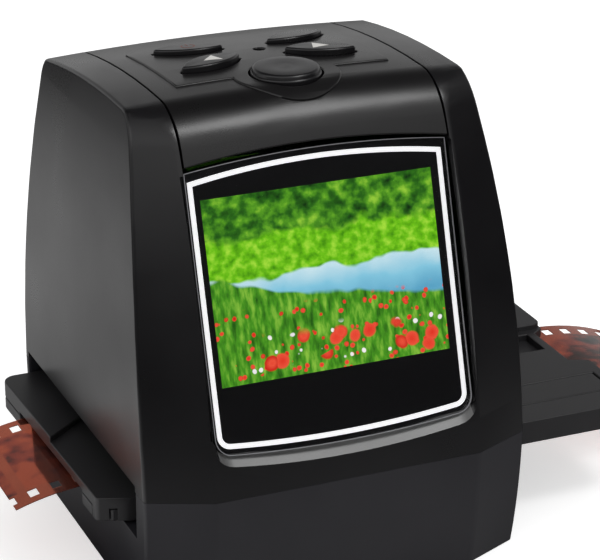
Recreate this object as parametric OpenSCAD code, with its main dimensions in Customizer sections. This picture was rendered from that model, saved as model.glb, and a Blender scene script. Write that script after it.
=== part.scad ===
// Desktop 35 mm film negative scanner with a colour screen and a sliding film tray.
// X runs to the right, the screen faces -Y, Z is up, and the origin is the middle of the footprint.

/* [Body] */
// Half of the widest body width, at the parting line
half_w = 41.5; // [41:0.5:43]
// Front face at the parting line, ahead of the origin
front_reach = 49; // [49:0.5:50]
// Rear face at the parting line, behind the origin
rear_reach = 37; // [37:0.5:38]
// Height of the crown of the top
body_h = 100.8; // [100.5:0.1:102]
// Height of the parting line between the base and the upper housing
seam_z = 26.7; // [26.4:0.1:27.2]
// Wall thickness of the shells
wall_t = 2.1; // [1.8:0.1:2.4]
// Turn of the two front facets away from the front face
front_facet_a = 24; // [22:1:26]
// Turn of the two rear facets away from the rear face
rear_facet_a = 12; // [10:1:13]
// Width of the strip that carries the keys, over the top of the body
strip_w = 55.4; // [55:0.1:55.8]

/* [Screen] */
// Width of the lit picture
picture_w = 48.96; // [47:0.01:49.5]
// Height of the lit picture
picture_h = 36.72; // [35:0.01:37.5]
// Lean of the screen away from upright
screen_lean = 16.8; // [16:0.1:17.4]
// Width of the white printed line around the screen
line_w = 1.3; // [1:0.1:1.6]
// Thickness of the clear window
glass_t = 1.2; // [1:0.1:1.3]

/* [Keys] */
// Travel of each key
key_travel = 0.8; // [0.5:0.1:0.8]
// How far the keys stand above the pad around them
key_rise = 1.5; // [1.1:0.1:1.8]
// Gap between a key and its hole
key_gap = 0.35; // [0.3:0.05:0.4]
// Radius of the hole of the round scan key
scan_hole_r = 7.5; // [7.2:0.1:7.8]

/* [Film tray] */
// Underside of the tray above the table
tray_z = 17.1; // [17.1:0.05:17.3]
// Thickness of the closed tray
tray_t = 5.2; // [5:0.1:5.4]
// Left end of the tray
tray_left = -48.2; // [-48.6:0.1:-47.6]
// Right end of the tray
tray_right = 76.3; // [75:0.1:78]
// Front edge of the tray
tray_front = -32; // [-32:0.1:-31.8]
// Rear edge of the tray
tray_back = 31; // [30.8:0.1:31]
// Lowest edge of the slot that the tray slides through
slot_z = 16.4; // [16.2:0.1:16.6]

/* [Film] */
// Width of the film strip
film_w = 35; // [34.9:0.05:35]
// Distance between two perforations along the film
perf_pitch = 4.75; // [4.74:0.01:4.76]
// Number of perforations on each edge
perf_count = 35; // [30:1:38]

/* [Hidden] */
$fn = 64;

BIG = 200;
EPS = 0.01;
plastic = [0.13, 0.13, 0.14];

// ---- Outline of the body, seen from the side as [y, z] ----
front_r = 194.5;
front_lean = 5;
front_c = [front_r * cos(front_lean) - front_reach, seam_z - front_r * sin(front_lean)];
top_r = 240;
top_c = [-15, body_h - top_r];
rear_r = 350;
rear_c = [rear_reach - rear_r, seam_z];
front_round = 12;
rear_round = 5.5;
front_foot_r = 120;
rear_foot_r = 240;
crown_r = 600;
crease_x = 28.5;
side_r = 480;
side_foot = half_w - 0.4;

// Points of an arc from angle a0 to a1 in n steps
function arc(c, r, a0, a1, n) = [for (i = [0:n]) let (a = a0 + (a1 - a0) * i / n) c + r * [cos(a), sin(a)]];

// Upper crossing of two circles
function crossing(c1, r1, c2, r2) =
    let (d = norm(c2 - c1), u = (c2 - c1) / d, k = (d * d + r1 * r1 - r2 * r2) / (2 * d))
    let (h = sqrt(r1 * r1 - k * k), p = c1 + k * u, q = [-u.y, u.x] * h)
    (p + q).y > (p - q).y ? p + q : p - q;

function heading(from, to) = atan2(to.y - from.y, to.x - from.x);

front_round_c = crossing(front_c, front_r - front_round, top_c, top_r - front_round);
rear_round_c = crossing(top_c, top_r - rear_round, rear_c, rear_r - rear_round);

a_front = heading(front_c, front_round_c);
a_top = [heading(top_c, front_round_c), heading(top_c, rear_round_c)];
a_rear = heading(rear_c, rear_round_c);

// Front, top and rear of the upper body's side outline, t inside the outer face
function front_edge(t) = concat(
    [[t - front_reach, seam_z - 20]],
    arc(front_c, front_r - t, 180 - front_lean, a_front, 9),
    arc(front_round_c, front_round - t, a_front, a_top[0], 7)
);
function top_edge(t) = arc(top_c, top_r - t, a_top[0], a_top[1], 6);
function rear_edge(t) = concat(
    arc(rear_round_c, rear_round - t, a_top[1], a_rear, 4),
    arc(rear_c, rear_r - t, a_rear, 0, 5),
    [[rear_reach - t, seam_z - 20]]
);

// What a front or rear facet keeps: its own edge, carried straight on over the top
function front_limit(t) = let (e = front_edge(t), a = a_top[0] - 90)
    concat(e, [e[len(e) - 1] + BIG * [cos(a), sin(a)], [BIG, -10]]);
function rear_limit(t) = let (e = rear_edge(t), a = a_top[1] + 90)
    concat([[-BIG, -10], e[0] + BIG * [cos(a), sin(a)]], e);

// The same for the base, which stands on z0
function base_front(t, z0) = concat(
    arc([front_foot_r - front_reach, seam_z], front_foot_r - t, 180 + foot_angle(front_foot_r - t, z0), 180, 7),
    [[t - front_reach, BIG]]
);
function base_rear(t, z0) = concat(
    [[rear_reach - t, BIG]],
    arc([rear_reach - rear_foot_r, seam_z], rear_foot_r - t, 0, -foot_angle(rear_foot_r - t, z0), 7)
);
function foot_angle(r, z0) = asin((seam_z - z0) / r);
function base_front_limit(t, z0) = concat(base_front(t, z0), [[BIG, BIG], [BIG, z0]]);
function base_rear_limit(t, z0) = concat([[-BIG, z0], [-BIG, BIG]], base_rear(t, z0));

// Front view outline of the side walls as [x, z]
function wall_outline(t) = concat(
    [[side_foot - t, -1], [side_foot - t, 0]],
    arc([half_w - side_r, seam_z], side_r - t, 0, 10.5, 8),
    arc([side_r - half_w, seam_z], side_r - t, 169.5, 180, 8),
    [[t - side_foot, 0], [t - side_foot, -1]]
);

// A [y, z] outline drawn out along X
module along_x(points, w = BIG) {
    rotate([90, 0, 90]) translate([0, 0, -w / 2]) linear_extrude(w) polygon(points);
}

// A front or rear facet: a side limit turned by a about the crease at side s
module facet(limit, a, s) {
    turned = [for (p = limit) [p.x * cos(a), p.y]];
    translate([s * crease_x, 0, 0]) rotate([0, 0, s * a]) along_x(turned, 2 * BIG);
}

module walls(t) {
    rotate([90, 0, 0]) translate([0, 0, -BIG / 2]) linear_extrude(BIG) polygon(wall_outline(t));
}

// Solid shape of the body above the parting line, t inside its outer face
module upper_form(t) {
    axis_z = body_h - crown_r;
    outline = concat(front_edge(t), top_edge(t), rear_edge(t));
    intersection() {
        translate([0, 0, axis_z]) rotate([0, -90, -90]) rotate([0, 0, -7])
            rotate_extrude(angle = 14, $fn = 720) polygon([for (p = outline) [p.y - axis_z, p.x]]);
        facets_and_walls(t, front_limit(t), rear_limit(t));
        translate([-BIG / 2, -BIG / 2, seam_z]) cube([BIG, BIG, BIG]);
    }
}

// Solid shape of the base below the parting line, standing on z0
module base_form(t, z0) {
    intersection() {
        along_x(concat(base_front(t, z0), base_rear(t, z0)));
        facets_and_walls(t, base_front_limit(t, z0), base_rear_limit(t, z0));
        translate([-BIG / 2, -BIG / 2, z0]) cube([BIG, BIG, seam_z - z0]);
    }
}

module facets_and_walls(t, front, rear) {
    intersection() {
        facet(front, front_facet_a, 1);
        facet(front, front_facet_a, -1);
        facet(rear, -rear_facet_a, 1);
        facet(rear, -rear_facet_a, -1);
        walls(t);
    }
}

// A box given by its corners
module box(a, b) {
    translate(a) cube(b - a);
}

// ---- Screen, in its own plane: x across, v up the window, w out of it ----
screen_o = [0, -46.74, 37.25];
window_half = 27.1;
glass_margin = 1;
window_top = 52;
window_rise = 2.3;
window_sag = 1.3;
picture_v = 29.7;
panel_t = 2.9;
panel_half = 27.4;
panel_v = [8.5, 50.6];
frame_depth = 6.4;
print_t = 0.1;

module on_screen() {
    translate(screen_o) rotate([90 - screen_lean, 0, 0]) children();
}

// Outline of the window, m outside the white line's outer edge, with bottom corners of radius r
function window_outline(m, r) = let (
    h = window_half + m,
    top_rr = (h * h + window_rise * window_rise) / (2 * window_rise),
    low_rr = (h * h + window_sag * window_sag) / (2 * window_sag),
    a_top = asin(h / top_rr),
    a_low = asin((h - r) / (low_rr - r)),
    low_c = [0, low_rr - window_sag - m],
    corner = [h - r, low_c.y - (low_rr - r) * cos(a_low)]
) concat(
    arc([0, window_top + window_rise + m - top_rr], top_rr, 90 - a_top, 90 + a_top, 10),
    arc([-corner.x, corner.y], r, 180, 270 - a_low, 5),
    arc(low_c, low_rr, 270 - a_low, 270 + a_low, 8),
    arc(corner, r, 270 + a_low, 360, 5)
);

// Slab with an outline in the screen plane, between two depths
module screen_slab(points, w0, w1) {
    on_screen() translate([0, 0, w0]) linear_extrude(w1 - w0) polygon(points);
}

module screen_box(x, v, w) {
    on_screen() box([-x, v[0], w[0]], [x, v[1], w[1]]);
}

// The bevelled ledge below the window: a crescent cut that runs out of the window at a slant
ledge_slant = 59;
ledge_low = -5.5;
ledge_half = 28;
ledge_r = 4.5;
ledge_sweep = 147;
opening_gap = 0.25;
module ledge_cut() {
    side = ledge_half - ledge_r;
    span = asin(side / (ledge_sweep - ledge_r));
    mid = [0, ledge_low + ledge_sweep];
    corner = [side, mid.y - (ledge_sweep - ledge_r) * cos(span)];
    low = concat(
        arc([-corner.x, corner.y], ledge_r, 180, 270 - span, 5),
        arc(mid, ledge_sweep, 270 - span, 270 + span, 12),
        arc(corner, ledge_r, 270 + span, 360, 5),
        [[ledge_half, 30], [-ledge_half, 30]]
    );
    translate(screen_o) rotate([90 - screen_lean + ledge_slant, 0, 0])
        linear_extrude(30) polygon([for (p = low) [p.x, p.y * cos(ledge_slant)]]);
}

// The opening that the window sits in
module window_opening() {
    screen_slab(window_outline(glass_margin + opening_gap, 3.7), -8, 12);
}

// ---- Keys on the top, seen from above ----
scan_c = [0, -15.9];
power_key = [-11.8, 7.9, -15.5, 15.6, 3.4];
ok_key = [11.8, 7.9, 15.5, 15.6, 3.4];
left_key = [-11.9, -5.4, 18.5, 15.8, 3.5];
right_key = [11.9, -5.4, -18.5, 15.8, 3.5];
key_lip = 0.25;
key_taper = 0.25;
key_dome_r = 70;
light_c = [1.6, 2.2];
light_r = 1.2;
pad_rise = 0.35;
flange_z = [95.2, 96];
stem_z = 94.9;
board_z = 91.2;

// Height of the pad's surface over a place on the top
function pad_z(x, y) = body_h + pad_rise - x * x / (2 * crown_r) - pow(y - top_c.x, 2) / (2 * top_r);

// Radius of the two arcs of a key's outline: k is [x, y, turn, length, half depth]
function key_arc(k) = (k[3] * k[3] / 4 + k[4] * k[4]) / (2 * k[4]);

// Lens-shaped column of a key from height z0 to z1, its sides g0 inside the hole below and g1 above
module key_column(k, z0, z1, g0, g1) {
    r = key_arc(k);
    translate([k[0], k[1], z0]) rotate(k[2]) intersection() {
        translate([0, k[4] - r, 0]) cylinder(r1 = r - g0, r2 = r - g1, h = z1 - z0, $fn = 128);
        translate([0, r - k[4], 0]) cylinder(r1 = r - g0, r2 = r - g1, h = z1 - z0, $fn = 128);
        translate([-k[3] / 2 + 0.4 + g0, -9, 0]) cube([k[3] - 0.8 - 2 * g0, 18, z1 - z0]);
    }
}

module key_hole(k) {
    key_column(k, 90, 110, 0, 0);
}

// Raised pad around the keys, seen from above
module pad_shape() {
    polygon([[-22.8, -14.9], [22.8, -14.9], [23.2, 14], [18.5, 19], [-18.5, 19], [-23.2, 14]]);
    translate(scan_c) circle(11);
}

// One lens-shaped key: domed cap over a lip, the flange that keeps it in, the stem that meets its switch
module lens_key(k) {
    pad = pad_z(k[0], k[1]);
    top = pad + key_rise;
    shoulder = key_gap + key_lip;
    lean = [k[0] / crown_r, (k[1] - top_c.x) / top_r];
    color(plastic) {
        intersection() {
            key_column(k, flange_z[1], top + 1, shoulder, shoulder + key_taper);
            translate([k[0] - lean.x * key_dome_r, k[1] - lean.y * key_dome_r, top - key_dome_r])
                sphere(key_dome_r, $fn = 360);
        }
        intersection() {
            key_column(k, flange_z[1], pad + 1, key_gap, key_gap);
            upper_form(-pad_rise - key_lip);
        }
        key_column(k, flange_z[0], flange_z[1], -0.7, -0.7);
        translate([k[0], k[1], stem_z]) cylinder(r = 1.5, h = flange_z[0] - stem_z);
    }
}

// ---- Screws ----
screw_r = 1.2;
head_r = 2.3;
case_screw = [33.5, -38.2];
case_screw_z = 5;
guide_screw = [34.5, 26];
guide_floor = [14.9, 16.8];

// A pan-head screw pointing up, with its head below z
module screw_up(l) {
    translate([0, 0, -1.6]) cylinder(r = head_r, h = 1.6);
    cylinder(r = screw_r, h = l);
}

// ======== Shells ========

module main_housing() {
    color(plastic) {
        difference() {
            upper_form(0);
            upper_form(wall_t);
            strip_space(0.12);
            window_opening();
            ledge_cut();
            for (s = [0, 1]) mirror([s, 0, 0]) slot_chamfer();
        }
        for (s = [-1, 1]) {
            for (v = [14, 44]) on_screen() translate([s * 32.5, v, -4.6]) cylinder(r = 2, h = 3.7);
            housing_boss(s);
            rear_tongue(s);
        }
        difference() {
            box([-36, beam_y[0], 88], [36, beam_y[1], beam_z]);
            for (x = beam_posts) translate([x, beam_y[0] + 1.5, 80]) cylinder(r = screw_r + 0.1, h = 30);
        }
    }
}

// The space of the top strip and the rear panel: c wider than the strip all round
module strip_space(c) {
    h = strip_w / 2 + c;
    box([-h, -60, 86], [h, 0, 120]);
    box([-h, 0, 29.5 - c], [h, 60, 120]);
}

// Cross beam that carries the top cover's rear end
beam_y = [16.5, 19.5];
beam_z = 93;
beam_posts = [-15, 15];

// Tongue that hooks inside the base's rear wall
module rear_tongue(s) {
    inner = rear_reach - wall_t;
    box([s * 16 - 4, inner - 1.7, seam_z - 3], [s * 16 + 4, inner - 0.5, seam_z + 2]);
    box([s * 16 - 4, inner - 1.7, seam_z], [s * 16 + 4, inner + 1, seam_z + 2]);
}

// The post that takes one case screw, with a rib to the facet wall
module housing_boss(s) {
    difference() {
        union() {
            translate([s * case_screw.x, case_screw.y, 24.2]) cylinder(r = 2.7, h = 19.8);
            box([s * case_screw.x - 0.6, case_screw.y - 6, 30], [s * case_screw.x + 0.6, case_screw.y, 42]);
        }
        translate([s * case_screw.x, case_screw.y, 20]) cylinder(r = screw_r, h = 18);
    }
}

// Chamfer along the housing's lower edge, over the tray slot
module slot_chamfer() {
    translate([half_w, -38, seam_z]) rotate([0, 45, 0]) translate([-0.9, 0, -0.9]) cube([1.8, 70, 1.8]);
}

module top_cover() {
    color(plastic) difference() {
        union() {
            intersection() {
                difference() {
                    upper_form(0);
                    upper_form(wall_t);
                }
                strip_body();
            }
            intersection() {
                upper_form(-pad_rise);
                difference() {
                    translate([0, 0, 97]) linear_extrude(10) pad_shape();
                    upper_form(1);
                }
            }
            for (p = board_posts) translate([p.x, p.y, board_z]) cylinder(r = 2, h = 7);
            for (x = beam_posts) translate([x, beam_y[0] + 1.5, beam_z]) cylinder(r = 2, h = 4.6);
        }
        window_opening();
        for (k = [power_key, ok_key, left_key, right_key]) key_hole(k);
        translate([scan_c.x, scan_c.y, 90]) cylinder(r = scan_hole_r, h = 20);
        translate([light_c.x, light_c.y, 90]) cylinder(r = light_r + 0.05, h = 20);
        for (p = board_posts) translate([p.x, p.y, board_z - 1]) cylinder(r = screw_r, h = 4.5);
        for (x = beam_posts) translate([x, beam_y[0] + 1.5, beam_z - 1]) cylinder(r = screw_r, h = 4.5);
    }
}
board_posts = [[-24.4, -17], [24.4, -17], [-24.4, 11], [24.4, 11]];

// What part of the shell belongs to the top strip
module strip_body() {
    h = strip_w / 2;
    box([-h, -60, 86.2], [h, 0, 120]);
    box([-h, 0, 84], [h, 60, 120]);
}

module rear_panel() {
    h = strip_w / 2;
    inner = rear_reach - wall_t;
    color(plastic) {
        box([-8, inner - 1.6, 27.6], [8, inner - 0.1, 31.6]);
        box([-8, inner - 1.6, 29.9], [8, inner + 0.5, 31.6]);
    }
    color(plastic) difference() {
        intersection() {
            upper_form(0);
            box([-h, 0, 29.7], [h, 60, 83.8]);
        }
        upper_form(wall_t);
        box([usb_x[0] - 0.2, 20, port_z - 0.2], [usb_x[1] + 0.2, 50, port_z + usb_h + 0.2]);
        box([card_x[0] - 0.2, 20, port_z - 0.2], [card_x[1] + 0.2, 50, port_z + 3.7]);
        translate([jack_c.x, 50, jack_c.y]) rotate([90, 0, 0]) cylinder(r = jack_r + 0.15, h = 30);
        for (i = [0:4]) box([-14, 20, 46 + 4 * i], [14, 50, 47.6 + 4 * i]);
    }
}

module base_housing() {
    color(plastic) {
        difference() {
            base_form(0, 0);
            base_form(wall_t, 2.9);
            translate([0, -4.5, -EPS]) linear_extrude(0.8) square([68, 72], center = true);
            box([-60, -38, slot_z], [60, 32, 40]);
            for (p = foot_places) translate([p.x, p.y, -EPS]) cylinder(r = foot_r + 0.05, h = 1.3);
            for (s = [-1, 1]) case_screw_hole(s);
            for (s = [-1, 1]) for (y = [guide_screw.y, -guide_screw.y]) guide_post_hole(s, y);
        }
        for (s = [-1, 1]) {
            difference() {
                translate([s * case_screw.x, case_screw.y, 2]) cylinder(r = 3.4, h = 22);
                case_screw_hole(s);
            }
            for (y = [guide_screw.y, -guide_screw.y]) difference() {
                translate([s * guide_screw.x, y, 2]) cylinder(r = 2.4, h = guide_floor[0] - 2);
                guide_post_hole(s, y);
            }
        }
        for (p = [[-19, -12], [19, -12], [-19, 11], [19, 11]])
            translate([p.x, p.y, 2]) cylinder(r = 1.6, h = 1.6);
    }
}

module case_screw_hole(s) {
    translate([s * case_screw.x, case_screw.y, -1]) cylinder(r = screw_r + 0.3, h = 30);
    translate([s * case_screw.x, case_screw.y, -1]) cylinder(r = head_r + 0.2, h = 1 + case_screw_z);
}

module guide_post_hole(s, y) {
    translate([s * guide_screw.x, y, 9]) cylinder(r = screw_r, h = 10);
}

// ======== Screen ========

module screen_window() {
    color([0.1, 0.1, 0.12, 0.5]) screen_slab(window_outline(glass_margin, 3.5), -glass_t, 0);
}

module window_border() {
    color("white") difference() {
        screen_slab(window_outline(0, 2.5), -glass_t - print_t, -glass_t);
        screen_slab(window_outline(-line_w, 1.2), -glass_t - 1, -glass_t + 1);
    }
}

module screen_mask() {
    color([0.02, 0.02, 0.03]) difference() {
        screen_slab(window_outline(glass_margin, 3.5), -glass_t - 2 * print_t, -glass_t - print_t);
        on_screen() translate([-picture_w / 2, picture_v - picture_h / 2, -5])
            cube([picture_w, picture_h, 10]);
    }
}

lcd_face = -glass_t - 2 * print_t;

module lcd_panel() {
    color([0.25, 0.5, 0.2]) screen_box(panel_half, panel_v, [lcd_face - panel_t, lcd_face]);
}

module lcd_frame() {
    color([0.08, 0.08, 0.09]) {
        difference() {
            screen_slab(window_outline(glass_margin + 0.1, 3.6), -frame_depth, lcd_face);
            screen_box(panel_half + 0.05, panel_v + [-0.05, 0.05], [-frame_depth + 1, 5]);
            screen_box(panel_half - 3, panel_v + [3, -3], [-20, 5]);
            screen_box(12, [-20, 6], [-20, lcd_face - 1]);
        }
        for (s = [-1, 1]) for (v = [14, 44]) on_screen() difference() {
            box([s * 31.4 - 3.7, v - 3, -frame_depth], [s * 31.4 + 3.7, v + 3, -4.6]);
            translate([s * 32.5, v, -20]) cylinder(r = 0.9, h = 30);
        }
    }
}

module lcd_ribbon_cable() {
    path = [[-29.9, 78], [-25, 77.4], [-22, 75.6], [-20, 74.1], [-12, port_z + 0.3]];
    color([0.75, 0.5, 0.15]) along_x(concat(path, [for (i = [4:-1:0]) path[i] - [0, 0.3]]), 14);
}

// ======== Keys ========

module scan_button() {
    r = scan_hole_r - key_gap;
    pad = pad_z(scan_c.x, scan_c.y);
    top = pad + key_rise;
    cap = r - key_lip - key_taper;
    dome = asin(cap / key_dome_r);
    color(plastic) translate([scan_c.x, scan_c.y, 0]) {
        rotate_extrude() polygon(concat(
            [[0, flange_z[1]], [r, flange_z[1]], [r, pad + key_lip], [r - key_lip, pad + key_lip + 0.05]],
            arc([0, top - key_dome_r], key_dome_r, 90 - dome, 90, 6)
        ));
        translate([0, 0, flange_z[0]]) cylinder(r = scan_hole_r + 0.7, h = flange_z[1] - flange_z[0]);
        translate([0, 0, stem_z]) cylinder(r = 1.5, h = flange_z[0] - stem_z);
    }
}

module power_button() { lens_key(power_key); }
module ok_button() { lens_key(ok_key); }
module left_button() { lens_key(left_key); }
module right_button() { lens_key(right_key); }

module status_light() {
    color([0.03, 0.03, 0.04]) translate([light_c.x, light_c.y, board_z]) {
        cylinder(r = light_r, h = 99.6 - board_z);
        cylinder(r = light_r + 0.4, h = 4);
    }
}

switch_places = [for (k = [power_key, ok_key, left_key, right_key]) [k[0], k[1]], scan_c];

module key_board() {
    color([0.05, 0.3, 0.12]) difference() {
        box([-26.5, -21, board_z - 1.2], [26.5, 13.5, board_z]);
        for (p = board_posts) translate([p.x, p.y, 80]) cylinder(r = screw_r + 0.1, h = 20);
    }
}

module key_switches() {
    color([0.3, 0.3, 0.32]) for (p = switch_places) translate([p.x, p.y, board_z]) {
        translate([-2.2, -2.2, 0]) cube([4.4, 4.4, 1.8]);
        cylinder(r = 1.2, h = stem_z - key_travel - 0.1 - board_z);
    }
}

// ======== Optics and electronics ========

axis_y = -0.5;
tower_z = [26.2, 60];
barrel_z = [46, 63.5];
barrel_r = 9;
sensor_z = 66;
main_z = 72;

board_t = 1.4;
plate_t = 1.6;
stack_reach = 16;
stud_r = 0.9;

// The four places, around the optical axis, where the boards are stacked on the tower
module stack_places() {
    for (x = [-stack_reach, stack_reach]) for (y = [-stack_reach, stack_reach])
        translate([x, axis_y + y, 0]) children();
}

module optics_tower() {
    color([0.1, 0.1, 0.1]) difference() {
        union() {
            box([-21, axis_y - 20, tower_z[0] + plate_t], [21, axis_y + 20, tower_z[1]]);
            stack_places() translate([0, 0, tower_z[1]]) cylinder(r = 2, h = sensor_z - tower_z[1]);
        }
        box([-19.4, axis_y - 18.4, tower_z[0]], [19.4, axis_y + 18.4, tower_z[1] - 2]);
        translate([0, axis_y, 40]) cylinder(r = barrel_r, h = 30);
        stack_places() translate([0, 0, sensor_z - 5]) cylinder(r = stud_r, h = 10);
    }
}

// Plate on the guide's rails that carries the tower
module tower_plate() {
    color([0.12, 0.12, 0.12]) difference() {
        box([-26, -34.5, tower_z[0]], [26, 31.8, tower_z[0] + plate_t]);
        box([-19.4, axis_y - 18.4, 20], [19.4, axis_y + 18.4, 30]);
    }
}

module lens_barrel() {
    color([0.05, 0.05, 0.05]) translate([0, axis_y, 0]) difference() {
        translate([0, 0, barrel_z[0]]) cylinder(r = barrel_r, h = barrel_z[1] - barrel_z[0]);
        translate([0, 0, barrel_z[0] - 1]) cylinder(r = 5, h = 30);
        translate([0, 0, barrel_z[0] + 2]) cylinder(r = 7, h = 4);
        translate([0, 0, barrel_z[1] - 6]) cylinder(r = 7, h = 4);
    }
}

// Two biconvex elements in the barrel
module lens_glass() {
    color([0.7, 0.8, 0.9, 0.4]) for (z = [barrel_z[0] + 2, barrel_z[1] - 6])
        translate([0, axis_y, z]) rotate_extrude() polygon([[0, 0.1], [5, 0.6], [7, 0.8],
            [7, 3.2], [5, 3.4], [0, 3.9]]);
}

module sensor_board() {
    color([0.05, 0.3, 0.12]) difference() {
        box([-19, axis_y - 19, sensor_z], [19, axis_y + 19, sensor_z + board_t]);
        stack_places() translate([0, 0, sensor_z - 5]) cylinder(r = stud_r, h = 10);
    }
}

module sensor_chip() {
    color([0.2, 0.2, 0.25]) box([-6, axis_y - 5, sensor_z - 1.6], [6, axis_y + 5, sensor_z]);
}

module main_board() {
    color([0.05, 0.3, 0.12]) difference() {
        box([-35.4, -20.5, main_z], [35.4, 29.4, main_z + board_t]);
        stack_places() translate([0, 0, main_z - 5]) cylinder(r = screw_r + 0.1, h = 10);
    }
}

port_z = main_z + board_t;
usb_x = [-23, -15.3];
usb_h = 3.9;
card_x = [-13.6, 13.6];
jack_c = [20.4, port_z + 3.1];
jack_r = 2.6;

module usb_port() {
    color([0.75, 0.76, 0.78]) difference() {
        box([usb_x[0], 24.5, port_z], [usb_x[1], 33.2, port_z + usb_h]);
        box([usb_x[0] + 0.5, 26.5, port_z + 0.5], [usb_x[1] - 0.5, 40, port_z + usb_h - 0.5]);
    }
}

module card_slot() {
    color([0.7, 0.7, 0.72]) difference() {
        box([card_x[0], 5, port_z], [card_x[1], 31.4, port_z + 3.5]);
        box([card_x[0] + 1.4, 7, port_z + 0.6], [card_x[1] - 1.4, 40, port_z + 2.9]);
    }
}

module video_jack() {
    color([0.1, 0.1, 0.1]) difference() {
        union() {
            box([jack_c.x - 3, 20, port_z], [jack_c.x + 3, 30.4, port_z + 6]);
            translate([jack_c.x, 33, jack_c.y]) rotate([90, 0, 0]) cylinder(r = jack_r, h = 3);
        }
        translate([jack_c.x, 40, jack_c.y]) rotate([90, 0, 0]) cylinder(r = 1.8, h = 18);
    }
}

light_wall = [22, 15.5];

module light_box() {
    color([0.9, 0.9, 0.9]) difference() {
        box([-light_wall.x, axis_y - light_wall.y, 4.8], [light_wall.x, axis_y + light_wall.y, guide_floor[0]]);
        box([1.4 - light_wall.x, axis_y + 1.4 - light_wall.y, 0],
            [light_wall.x - 1.4, axis_y + light_wall.y - 1.4, 20]);
    }
}

module light_diffuser() {
    color([0.95, 0.95, 0.92]) box([-21, axis_y - 14.4, guide_floor[0]], [21, axis_y + 14.4, guide_floor[1] - 0.5]);
}

module light_board() {
    color([0.9, 0.9, 0.9]) box([-23.5, axis_y - 17, 3.6], [23.5, axis_y + 17, 4.8]);
}

module backlight_leds() {
    color([0.95, 0.9, 0.5]) for (x = [-12, 0, 12]) for (y = [-7, 7])
        translate([x - 1.8, axis_y + y - 1.8, 4.8]) cube([3.6, 3.6, 1.2]);
}

// ======== Tray and its guide ========

guide_x = 38.4;
guide_y = [-34.8, 32.1];
rail_gap = 0.4;

module tray_guide() {
    color([0.1, 0.1, 0.1]) difference() {
        union() {
            box([-guide_x, guide_y[0], guide_floor[0]], [guide_x, guide_y[1], guide_floor[1]]);
            box([-guide_x, guide_y[0], guide_floor[0]], [guide_x, tray_front - rail_gap, tower_z[0]]);
            box([-guide_x, tray_back + rail_gap, guide_floor[0]], [guide_x, guide_y[1], tower_z[0]]);
        }
        box([-21, axis_y - 14.4, 0], [21, axis_y + 14.4, 20]);
        for (s = [-1, 1]) for (y = [guide_screw.y, -guide_screw.y]) {
            translate([s * guide_screw.x, y, 0]) cylinder(r = screw_r + 0.1, h = 20);
            translate([s * guide_screw.x, y, guide_floor[1] - 1.1])
                cylinder(r1 = screw_r + 0.2, r2 = head_r + 0.3, h = 1.1 + EPS);
        }
        box([-10, guide_y[0] - 1, 18.4], [10, tray_front, 21.4]);
        box([-50, film_c - 18.3, slot_z], [50, film_c + 18.3, guide_floor[1] + 1]);
    }
}

// Bent leaf that clicks into the tray's front edge
module detent_spring() {
    front = guide_y[0] - 0.4;
    path = [[-15, front], [-9, front], [-4, tray_front - 1.2], [0, tray_front - 0.45],
        [4, tray_front - 1.2], [9, front], [15, front]];
    color([0.8, 0.8, 0.8]) translate([0, 0, 18.6])
        linear_extrude(2.6) polygon(concat(path, [for (i = [6:-1:0]) path[i] + [0, -0.3]]));
}

tray_mid = tray_z + tray_t / 2;
leaf_gap = 0.1;
film_c = -0.5;
raise_t = 1.2;
gate = [36, 24];
tray_r = 4.5;
bar_z = 20.3;
leg_x = -42;

// Outline of the tray seen from above
function tray_outline() = concat(
    arc([tray_left + 2.6, tray_front + 3.4], 1.2, 181.5, 247, 4),
    [[tray_left + 8, tray_front]],
    arc([tray_right - tray_r, tray_front + tray_r], tray_r, 270, 360, 6),
    [[tray_right, -9], [tray_right - 4.3, -7], [tray_right - 4.3, 9], [tray_right - 1.5, 11]],
    arc([tray_right - 1.5 - tray_r, tray_back - tray_r], tray_r, 0, 90, 6),
    arc([tray_left + 3, tray_back - 3], 3, 90, 181.5, 6)
);

module tray_slab(z0, z1) {
    translate([0, 0, z0]) linear_extrude(z1 - z0) polygon(tray_outline());
}

// Light gate over the optical axis, one picture wide
module film_gate() {
    box([-gate.x / 2, film_c - gate.y / 2, 10], [gate.x / 2, film_c + gate.y / 2, 30]);
}

// Front rim of the tray, which the cover leaf brings down over the base leaf, grown by g
module front_rim(g) {
    linear_extrude(BIG) polygon([[-60, -40], [100, -40], [100, tray_front + 1.1 + g],
        [-44 + g, tray_front + 1.1 + g], [-46 + g, -27 + g], [-60, -27 + g]]);
}

// Notch that the detent spring clicks into
module detent_notch() {
    translate([0, tray_front - 0.6, tray_z - 1]) cylinder(r = 1.4, h = 5.6);
}

module film_channel() {
    box([-80, film_c - film_w / 2 - 0.2, tray_mid - 0.3], [120, film_c + film_w / 2 + 0.2, tray_mid + 0.3]);
}

// Hinge along the rear edge: leaf 0 is the base's and leaf 1 the cover's
hinge_y = 28.6;
knuckle_w = 8;
pin_r = 0.75;
knuckle_x = [[-30, -14, 14, 30], [-22, 22]];

module knuckles(leaf, grow) {
    for (x = knuckle_x[leaf]) box([x - knuckle_w / 2 - grow, hinge_y - 1.5 - grow, tray_mid - 1.5 - grow],
        [x + knuckle_w / 2 + grow, hinge_y + 1.5 + grow, tray_mid + 1.5 + grow]);
}

module hinge_bores() {
    translate([-40, hinge_y, tray_mid]) rotate([0, 90, 0]) cylinder(r = pin_r + 0.05, h = 80);
}

module tray_base() {
    color(plastic) difference() {
        union() {
            difference() {
                tray_slab(tray_z, tray_mid - leaf_gap);
                front_rim(0.2);
                knuckles(1, 0.2);
            }
            knuckles(0, 0);
        }
        film_gate();
        film_channel();
        hinge_bores();
        box([-60, -21, 0], [leg_x, 18.5, 30]);
    }
}

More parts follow.
